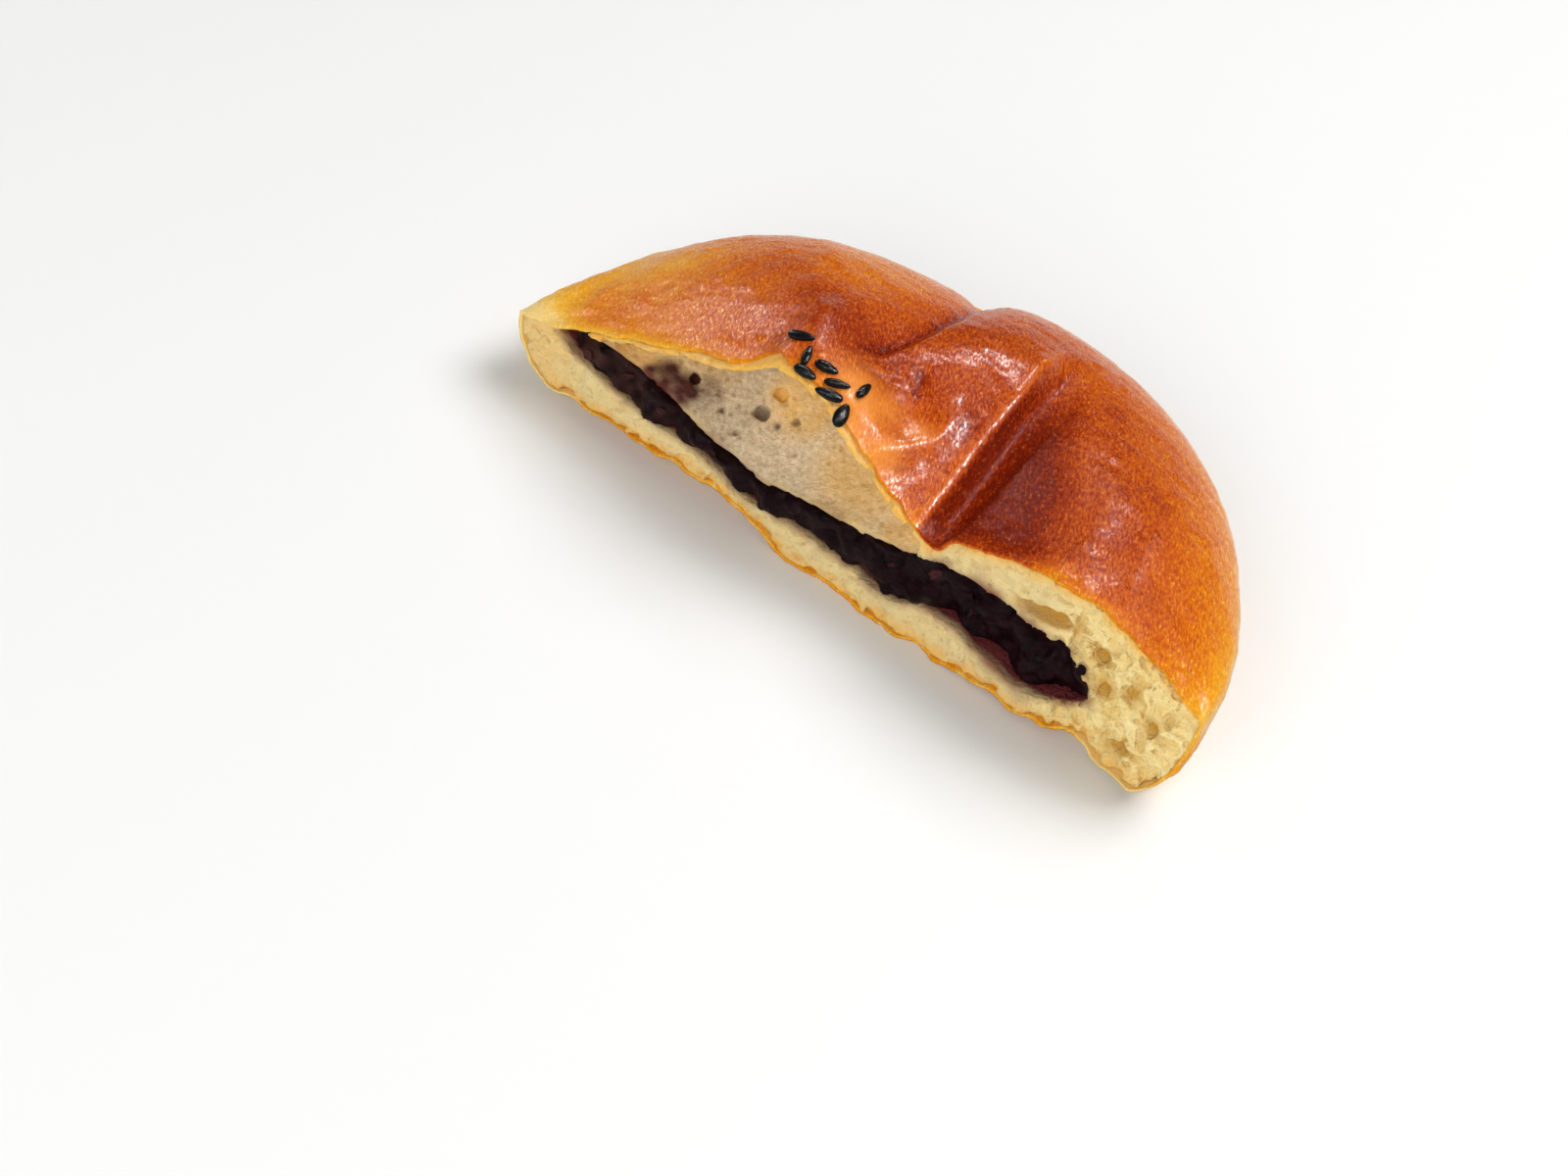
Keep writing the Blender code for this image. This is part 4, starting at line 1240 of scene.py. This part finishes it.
def placed_shapes_tree():
    """A shape on every point, turned and sized by the vectors stored there."""
    tree, given = new_tree("placed_shapes", "GeometryNodeTree", {
        "Points": "Geometry", "Shape": "Object", "Finish": "Material"}, {"Mesh": "Geometry"})
    turn = add_node(tree, "FunctionNodeEulerToRotation", {"Euler": stored_on_points(tree, "turn")})
    return place_shapes(tree, given, {"Points": given["Points"], "Rotation": turn.outputs["Rotation"],
                                      "Scale": stored_on_points(tree, "size")})


def scattered_shapes_tree():
    """A shape scattered over a surface where its cover is above zero."""
    tree, given = new_tree("scattered_shapes", "GeometryNodeTree", {
        "Surface": "Geometry", "Shape": "Object", "Finish": "Material", "Density": "Float", "Seed": "Int",
        "Smallest": "Vector", "Largest": "Vector", "Most turn": "Vector"}, {"Mesh": "Geometry"})
    density = Number(tree, stored_on_points(tree, "cover", "FLOAT")) * given["Density"]
    spread = add_node(tree, "GeometryNodeDistributePointsOnFaces", {
        "Mesh": given["Surface"], "Density": density, "Seed": given["Seed"]})
    size = add_node(tree, "FunctionNodeRandomValue", data_type="FLOAT_VECTOR", inputs={
        "Min": given["Smallest"], "Max": given["Largest"], "Seed": given["Seed"]})
    other_way = add_node(tree, "ShaderNodeVectorMath", operation="SCALE", inputs={
        0: given["Most turn"], "Scale": -1.0})
    lean = add_node(tree, "FunctionNodeRandomValue", data_type="FLOAT_VECTOR", inputs={
        "Min": other_way.outputs[0], "Max": given["Most turn"], "Seed": given["Seed"]})
    turn = add_node(tree, "FunctionNodeEulerToRotation", {"Euler": lean.outputs["Value"]})
    leant = add_node(tree, "FunctionNodeRotateRotation", rotation_space="LOCAL", inputs={
        "Rotation": spread.outputs["Rotation"], "Rotate By": turn.outputs["Rotation"]})
    return place_shapes(tree, given, {
        "Points": spread.outputs["Points"], "Rotation": leant.outputs["Rotation"],
        "Scale": size.outputs["Value"]})


def scatter(name, surface, cover, shape, finish, density, seed, smallest, largest, most_turn):
    """Copies of a shape scattered over part of a surface, as one piece. Sizes are in millimetres."""
    carrier = add_object("carrier", surface.data.copy())
    store(carrier.data, "cover", cover)
    piece = plain_mesh(carrier, name, scattered_shapes_tree(), {
        "Shape": shape, "Finish": finish, "Density": density, "Seed": seed,
        "Smallest": [s * MM for s in smallest], "Largest": [s * MM for s in largest],
        "Most turn": [math.radians(a) for a in most_turn]})
    bpy.data.objects.remove(shape)
    return piece


def shape_object(name, points, faces):
    """A small closed shape in plain units, to be repeated."""
    mesh = bpy.data.meshes.new(name)
    mesh.from_pydata(np.asarray(points, float).tolist(), [], faces)
    shape = add_object(name, mesh)
    tidy_normals(shape)
    return shape


def ball_points(rings, segments):
    """Directions of a ball's points with its poles on x, and the faces between them."""
    points = [(-1.0, 0.0, 0.0)]
    for i in range(1, rings):
        turn = math.pi * i / rings
        for j in range(segments):
            around = 2 * math.pi * j / segments
            ring = math.sin(turn)
            points.append((-math.cos(turn), ring * math.cos(around), ring * math.sin(around)))
    points.append((1.0, 0.0, 0.0))
    faces = []
    for j in range(segments):
        k = (j + 1) % segments
        faces.append((0, 1 + k, 1 + j))
        for i in range(rings - 2):
            a = 1 + i * segments
            faces.append((a + j, a + k, a + segments + k, a + segments + j))
        last = 1 + (rings - 2) * segments
        faces.append((last + j, last + k, len(points) - 1))
    return np.array(points), faces


def seed_shape():
    """A sesame seed of length, width and thickness 1: a flat drop with a blunt end and a pointed one."""
    points, faces = ball_points(18, 20)
    x, y, z = points.T
    narrow = 1.0 - 0.30 * ease((x + 0.1) / 1.1)
    blunt = 1.0 + 0.14 * bell(np.abs(x) - 0.8, 0.25)
    flat = np.sign(z) * np.abs(z) ** 0.85
    rim = 1.0 + 0.03 * np.cos(3.0 * np.arctan2(z, y))
    points = np.stack([x, y * narrow * blunt * rim, flat * narrow * blunt], axis=-1) * 0.5
    return shape_object("seed_shape", points, faces)


def skin_shape():
    """A shred of bean skin of length and width 1: a thin curved leaf with torn edges."""
    columns, rows = 6, 4
    upper = []
    lower = []
    for i in range(columns):
        for j in range(rows):
            u, v = i / (columns - 1) - 0.5, j / (rows - 1) - 0.5
            fray = 0.1 * math.sin(7.0 * u + 3.0 * v) + 0.06 * math.cos(11.0 * v)
            width = 1.0 - 1.6 * u * u
            lift = 0.5 * v * v * 2.2 + 0.35 * u * u
            upper.append((u * (1 + fray * 0.4), v * width * (1 + fray), lift + 0.03))
            lower.append((u * (1 + fray * 0.4), v * width * (1 + fray), lift - 0.03))
    count = columns * rows
    quads = grid_quads(columns, rows)
    faces = np.stack([quads, turned_over(quads) + count], axis=1).reshape(-1, 4).tolist()
    rim = ([i * rows for i in range(columns)] + [(columns - 1) * rows + j for j in range(1, rows)]
           + [i * rows + rows - 1 for i in range(columns - 2, -1, -1)] + [j for j in range(rows - 2, 0, -1)])
    for a, b in zip(rim, rim[1:] + rim[:1]):
        faces.append((a, b, count + b, count + a))
    return shape_object("skin_shape", upper + lower, faces)


def crumb_shape():
    """A torn bit of crumb about 1 across."""
    points, faces = ball_points(4, 5)
    lumps = 1.0 + 0.35 * lattice_noise(points, 0.8, 81)
    return shape_object("crumb_shape", points * lumps[:, None] * 0.5, faces)


# Sesame seeds

def surface_frame(x, y, heading):
    """The turn that lays a shape along a heading on the crust, and the direction out of the crust."""
    step = 0.4
    slope_x = float(crust_top(x + step, y) - crust_top(x - step, y)) / (2 * step)
    slope_y = float(crust_top(x, y + step) - crust_top(x, y - step)) / (2 * step)
    normal = Vector((-slope_x, -slope_y, 1.0)).normalized()
    along = Vector((math.cos(math.radians(heading)), math.sin(math.radians(heading)), 0.0))
    along = (along - normal * along.dot(normal)).normalized()
    across = normal.cross(along)
    return Matrix((along, across, normal)).transposed(), normal


def make_seeds(finish):
    """The sesame seeds where the solid has them, each sunk a little into the crust."""
    points, turns, sizes = [], [], []
    for (x, y), heading, length, width in SEEDS:
        turn, normal = surface_frame(x, y, heading)
        rest = Vector((x, y, float(crust_top(x, y))))
        points.append(rest + normal * SEED_THICKNESS * (0.5 - SEED_SINK))
        turns.append(turn.to_euler())
        sizes.append((length * MM, width * MM, SEED_THICKNESS * MM))
    mesh = bpy.data.meshes.new("seed_places")
    mesh.from_pydata(to_metres(points).tolist(), [], [])
    store(mesh, "turn", turns, "FLOAT_VECTOR")
    store(mesh, "size", sizes, "FLOAT_VECTOR")
    carrier = add_object("seed_places", mesh)
    shape = seed_shape()
    piece = plain_mesh(carrier, "sesame_seeds", placed_shapes_tree(), {"Shape": shape, "Finish": finish})
    bpy.data.objects.remove(shape)
    return piece


# Finishes

PATCH_TURN = math.radians(-28.0)


def even(size):
    return (size, size, size)


def object_place(group):
    return add_node(group, "ShaderNodeTexCoord").outputs["Object"]


def patches_group():
    """Soft uneven patches from 0 to 1. Size is in metres across, along and up, askew to the tear."""
    group, given = new_tree("patches", "ShaderNodeTree", {"Size": "Vector", "Contrast": "Float"},
                            {"Value": "Float"})
    turn = add_node(group, "ShaderNodeVectorRotate", rotation_type="Z_AXIS", inputs={
        "Vector": object_place(group), "Angle": PATCH_TURN})
    sized = add_node(group, "ShaderNodeVectorMath", operation="DIVIDE", inputs={
        0: turn.outputs[0], 1: given["Size"]})
    texture = add_node(group, "ShaderNodeTexNoise", {
        "Vector": sized.outputs[0], "Scale": 1.0, "Detail": 3.0, "Roughness": 0.6})
    value = (Number(group, texture.outputs["Fac"]) - 0.5) * given["Contrast"] + 0.5
    add_node(group, "NodeGroupOutput", {"Value": value.clamped()})
    return group


def cells_mask(group, given, place, width, **settings):
    """A mask round the points or walls of scattered cells, as wide as a share of their spacing."""
    cells = add_node(group, "ShaderNodeTexVoronoi", {
        "Vector": place, "Scale": 1.0 / Number(group, given["Spacing"])}, **settings)
    return (1.0 - Number(group, cells.outputs["Distance"]) / given[width]).clamped()


def specks_group():
    """Small round specks: a mask from 0 to 1. Spacing is in metres and Size is a share of it."""
    group, given = new_tree("specks", "ShaderNodeTree", {"Spacing": "Float", "Size": "Float"},
                            {"Mask": "Float"})
    add_node(group, "NodeGroupOutput", {"Mask": cells_mask(group, given, object_place(group), "Size")})
    return group


def cells_group():
    """Walls of small open cells: 1 on a wall and 0 inside a cell. Spacing is in metres."""
    group, given = new_tree("cells", "ShaderNodeTree", {"Spacing": "Float", "Wall": "Float"},
                            {"Wall": "Float"})
    place = object_place(group)
    drift = add_node(group, "ShaderNodeTexNoise", {"Vector": place, "Scale": 900.0})
    shifted = add_node(group, "ShaderNodeVectorMath", operation="MULTIPLY_ADD", inputs={
        0: drift.outputs["Color"], 1: even(0.0008), 2: place})
    wall = cells_mask(group, given, shifted.outputs[0], "Wall", feature="DISTANCE_TO_EDGE")
    add_node(group, "NodeGroupOutput", {"Wall": wall})
    return group


class Finish:
    """A material under construction: short calls for the nodes that every finish here uses."""

    def __init__(self, name):
        self.material = bpy.data.materials.new(name)
        self.material.use_nodes = True
        self.tree = self.material.node_tree
        self.shader = self.tree.nodes["Principled BSDF"]

    def set(self, **values):
        for label, value in values.items():
            self.shader.inputs[label.replace("_", " ")].default_value = value

    def feed(self, label, value):
        socket = value.socket if isinstance(value, Number) else value
        self.tree.links.new(socket, self.shader.inputs[label])

    def group(self, tree, **values):
        return Number(self.tree, add_node(self.tree, "ShaderNodeGroup", values, node_tree=tree).outputs[0])

    def stored(self, name):
        node = add_node(self.tree, "ShaderNodeAttribute", attribute_name=name)
        return Number(self.tree, node.outputs["Fac"])

    def ramp(self, value, stops):
        node = add_node(self.tree, "ShaderNodeValToRGB", {"Fac": value})
        node.color_ramp.interpolation = "EASE"
        while len(node.color_ramp.elements) < len(stops):
            node.color_ramp.elements.new(0.5)
        for element, (position, colour) in zip(node.color_ramp.elements, stops):
            element.position = position
            element.color = (*colour, 1.0)
        return node.outputs["Color"]

    def mix(self, share, first, second):
        """The first colour with a share of the second."""
        first, second = [(*c, 1.0) if isinstance(c, tuple) else c for c in (first, second)]
        node = add_node(self.tree, "ShaderNodeMix", {0: share, 6: first, 7: second}, data_type="RGBA",
                        clamp_factor=True)
        return node.outputs[2]

    def bump(self, height, strength, distance):
        node = add_node(self.tree, "ShaderNodeBump", {"Height": height, "Strength": strength,
                                                      "Distance": distance})
        self.feed("Normal", node.outputs["Normal"])


CRUST_COLOURS = [(0.0, (0.87, 0.62, 0.22)), (0.1, (0.82, 0.43, 0.040)), (0.2, (0.77, 0.31, 0.010)),
                 (0.4, (0.66, 0.165, 0.004)), (0.6, (0.50, 0.080, 0.005)), (0.8, (0.29, 0.028, 0.003)),
                 (1.0, (0.14, 0.009, 0.002))]
PASTE_COLOURS = (0.0028, 0.0012, 0.0016), (0.016, 0.0042, 0.0060)
SKIN_COLOURS = (0.010, 0.0025, 0.004), (0.07, 0.014, 0.018)
THIN_PASTE_COLOUR = (0.085, 0.030, 0.020)


def crust_finish(patches, specks):
    """Egg-washed crust: pale at the rim, golden, then deep red brown, with a grain of short strokes."""
    finish = Finish("browned_crust")
    blotches = finish.group(patches, Size=even(0.0035), Contrast=1.3)
    fine = finish.group(patches, Size=even(0.0006), Contrast=1.6)
    strokes = finish.group(patches, Size=(0.00028, 0.00075, 0.0004), Contrast=3.0)
    pale = finish.group(patches, Size=(0.00022, 0.0006, 0.0005), Contrast=2.2)
    dots = finish.group(specks, Spacing=0.0012, Size=0.2)
    baked = finish.stored("bake")
    flecks = (pale - 0.6).clamped() * 0.9
    uneven = blotches * 0.16 + strokes * 0.29 - flecks - 0.20
    liveliness = (baked * 2.0 + 0.15).at_most(1.0)
    colour = finish.ramp((baked + uneven * liveliness).clamped(), CRUST_COLOURS)
    colour = finish.mix(finish.stored("peach") * 0.75, colour, (0.84, 0.30, 0.055))
    colour = finish.mix(dots * (blotches * 0.5), colour, (0.70, 0.30, 0.10))
    glints = (pale - 0.42).clamped() * 2.6 + 0.06
    finish.feed("Base Color", colour)
    finish.feed("Roughness", strokes * 0.12 + 0.15)
    finish.feed("Coat Weight", (glints * finish.stored("shine")).clamped())
    finish.bump(strokes + fine + pale, 1.0, 0.00003)
    finish.set(Coat_Roughness=0.26, Specular_IOR_Level=0.06, Subsurface_Weight=0.04, Subsurface_Scale=0.001,
               Subsurface_Radius=(1.0, 0.4, 0.15))
    return finish.material


def crumb_finish(patches, specks, cells):
    """Soft cream crumb with bright cell walls, golden by the skin, stained by the paste, with painted shade
    in its open cells, pores and bubbles, on the wall of the air gap and away from the blunt end.
    """
    finish = Finish("white_crumb")
    patchy = finish.group(patches, Size=even(0.002), Contrast=1.2)
    fine = finish.group(patches, Size=even(0.0004), Contrast=1.5)
    fibres = finish.group(patches, Size=(0.0006, 0.0006, 0.0018), Contrast=2.4)
    fluff = finish.group(patches, Size=even(0.0011), Contrast=2.0)
    coarse = finish.group(cells, Spacing=0.0021, Wall=0.16)
    small = finish.group(cells, Spacing=0.0009, Wall=0.3)
    veins = finish.group(cells, Spacing=0.0015, Wall=0.16)
    pits = finish.group(specks, Spacing=0.0014, Size=0.34)
    inside = finish.stored("wall")
    openness = finish.stored("openness")
    hollow = (1.0 - coarse.at_least(small * 0.6)) * openness
    # Painted shade: a darker tan where the cells are less open, on the torn face away from the blunt end and
    # on the wall of the air gap
    closed = (1.0 - openness) * (fluff * 0.3 + 0.30)
    # Painted shade: the wall of the air gap greyer and darker than the torn face, streaked with fibres
    gap_wall_shade = finish.mix(fibres, (0.50, 0.37, 0.21), (0.84, 0.68, 0.46))
    colour = finish.mix(patchy, (0.84, 0.65, 0.28), (0.95, 0.81, 0.43))
    for share, tint in ((closed, (0.50, 0.34, 0.16)),
                        (inside, gap_wall_shade),
                        (veins * inside * 0.2, (0.90, 0.76, 0.52)),
                        # Painted shade in the pores of the air gap's wall
                        (pits * inside * 0.8, (0.27, 0.16, 0.08)),
                        # Painted shade in the open cells
                        (hollow * 0.6, (0.76, 0.50, 0.12)),
                        (finish.stored("rind") * 0.9, (0.84, 0.43, 0.06)),
                        # Painted shade in the bubbles and hollows of the blunt end
                        (finish.stored("golden"), (0.52, 0.27, 0.035)),
                        (finish.stored("gold"), (0.78, 0.44, 0.09)),
                        # Stains of the paste, and painted shade in the hollows, pores and slits of the air
                        # gap
                        (finish.stored("brown"), (0.065, 0.018, 0.012)),
                        (finish.stored("stain"), (0.16, 0.026, 0.026))):
        colour = finish.mix(share, colour, tint)
    finish.feed("Base Color", colour)
    finish.feed("Roughness", fine * 0.2 + 0.6)
    finish.bump(hollow * -1.6 + fine * (1.0 - inside * 0.3) - pits * inside + fluff * 1.6, 0.6, 0.00022)
    finish.set(Specular_IOR_Level=0.2, Subsurface_Weight=0.25, Subsurface_Scale=0.0012,
               Subsurface_Radius=(1.0, 0.6, 0.3))
    return finish.material


def paste_finish(patches, name, colours, roughness):
    """Sweet red bean paste, nearly black purple brown and moist, or its redder skins."""
    finish = Finish(name)
    patchy = finish.group(patches, Size=even(0.0016), Contrast=2.2)
    fine = finish.group(patches, Size=even(0.0005), Contrast=1.5)
    colour = finish.mix(finish.stored("thin"), finish.mix(patchy, *colours), THIN_PASTE_COLOUR)
    finish.feed("Base Color", colour)
    finish.feed("Roughness", fine * 0.25 + roughness)
    finish.bump(fine, 0.5, 0.0002)
    finish.set(Specular_IOR_Level=0.08)
    return finish.material


def seed_finish(patches):
    """Black sesame: nearly black, with a low sheen and fine lines."""
    finish = Finish("black_sesame")
    patchy = finish.group(patches, Size=even(0.0009), Contrast=1.5)
    fine = finish.group(patches, Size=(0.0002, 0.0006, 0.0002), Contrast=1.6)
    finish.feed("Base Color", finish.mix(patchy, (0.002, 0.002, 0.0025), (0.010, 0.009, 0.009)))
    finish.feed("Roughness", fine * 0.2 + 0.12)
    finish.bump(fine, 0.35, 0.0001)
    finish.set(Specular_IOR_Level=0.2)
    return finish.material


# Bits on the torn face

def make_skins(paste, finish):
    """Thin shreds of bean skin in the torn face of the paste."""
    x, y, z = points_of(paste).T
    low, high = paste_section(x, -0.9)
    front = ease((3.2 - y) / 1.5) * ((z > low) & (z < high))
    return scatter("bean_skins", paste, front, skin_shape(), finish, density=26000.0, seed=4,
                   smallest=(1.0, 0.6, 0.4), largest=(2.6, 1.5, 0.8), most_turn=(25, 25, 180))


def make_bits(crumb, finish):
    """Loose bits of crumb that cling to its torn face."""
    x, y, z = points_of(crumb).T
    front = ease((0.6 - (y - torn_depth(x, z))) / 0.5)
    return scatter("crumb_bits", crumb, front, crumb_shape(), finish, density=1200000.0, seed=6,
                   smallest=(0.16, 0.08, 0.08), largest=(0.6, 0.22, 0.2), most_turn=(180, 60, 180))


# Scene

CAMERA_PLACE = (0.097498, -0.212896, 0.203531)
CAMERA_RIGHT = (0.77405777, 0.60558354, 0.18467036)
CAMERA_UP = (-0.53624644, 0.47205502, 0.69971695)
CAMERA_BACK = (0.3365625, -0.64065017, 0.69013987)
SENSOR_WIDTH = 36.0
LENS = 58.5

# Lights: name, place, size, power in watts, and whether glossy things mirror it or it lights all
LIGHTS = [("key", (0.28, 0.36, 0.80), (0.6, 0.6), 7.7, False),
          ("fill", (0.10, -0.75, 0.40), (0.6, 0.6), 5.2, False),
          ("window_right", (0.46, 0.27, 0.70), (0.12, 0.12), 10.0, True),
          ("window_behind", (-0.19, 0.70, 0.80), (0.16, 0.14), 5.0, True),
          ("window_left", (-0.84, 0.26, 0.38), (0.24, 0.16), 2.4, True),
          ("lamp_in_front", (0.25, -0.40, 0.75), (0.10, 0.10), 3.0, True)]
LIT_PLACE = Vector((0.0, 0.0, 0.01))
FLOOR_REACH = 1.5


def make_camera():
    """A camera at the viewing angle of the photograph."""
    data = bpy.data.cameras.new("camera")
    data.sensor_width = SENSOR_WIDTH
    data.lens = LENS
    data.clip_start = 0.01
    camera = add_object("camera", data)
    turn = Matrix((CAMERA_RIGHT, CAMERA_UP, CAMERA_BACK)).transposed().to_4x4()
    camera.matrix_world = Matrix.Translation(CAMERA_PLACE) @ turn
    bpy.context.scene.camera = camera


def make_light(name, place, size, power, mirrored):
    """A soft rectangular light that faces the bun."""
    data = bpy.data.lights.new(name, "AREA")
    data.shape = "RECTANGLE"
    data.size, data.size_y = size
    data.energy = power
    light = add_object(name, data)
    light.location = place
    light.rotation_euler = (LIT_PLACE - Vector(place)).to_track_quat("-Z", "Y").to_euler()
    light.visible_glossy = mirrored
    light.visible_diffuse = not mirrored


def make_floor():
    """A plain pale floor."""
    mesh = bpy.data.meshes.new("floor")
    corners = [(-FLOOR_REACH, -FLOOR_REACH, 0), (FLOOR_REACH, -FLOOR_REACH, 0),
               (FLOOR_REACH, FLOOR_REACH, 0), (-FLOOR_REACH, FLOOR_REACH, 0)]
    mesh.from_pydata(corners, [], [(0, 1, 2, 3)])
    paint = Finish("floor_paint")
    paint.set(Base_Color=(0.80, 0.80, 0.79, 1.0), Roughness=0.7)
    mesh.materials.append(paint.material)
    floor = add_object("floor", mesh)


def make_daylight():
    """Soft daylight from the right and behind, a fill in front, and windows that the glaze mirrors."""
    world = bpy.data.worlds.new("soft_daylight")
    world.use_nodes = True
    sky = world.node_tree.nodes["Background"]
    sky.inputs["Color"].default_value = (0.97, 0.985, 1.0, 1.0)
    sky.inputs["Strength"].default_value = 0.2
    world.cycles_visibility.glossy = False
    bpy.context.scene.world = world
    for light in LIGHTS:
        make_light(*light)
    bpy.context.scene.view_settings.view_transform = "Standard"


def dress(piece, node):
    """Puts a finished piece on the body, in the place of a node."""
    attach(piece, "root")
    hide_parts(node)


def main():
    make_camera()
    make_floor()
    make_daylight()
    patches, specks, cells = patches_group(), specks_group(), cells_group()
    crust = make_crust(crust_finish(patches, specks))
    crumb_look = crumb_finish(patches, specks, cells)
    crumb = make_crumb(crumb_look)
    paste = make_paste(paste_finish(patches, "bean_paste_dark", PASTE_COLOURS, 0.25))
    seeds = make_seeds(seed_finish(patches))
    skins = make_skins(paste, paste_finish(patches, "bean_skin_red", SKIN_COLOURS, 0.2))
    bits = make_bits(crumb, crumb_look)
    for piece, slot in ((crust, "crust"), (crumb, "crumb"), (bits, "crumb"), (seeds, "sesame")):
        dress(piece, "bun_bread")
    for piece in (paste, skins):
        dress(piece, "bean_paste")


main()
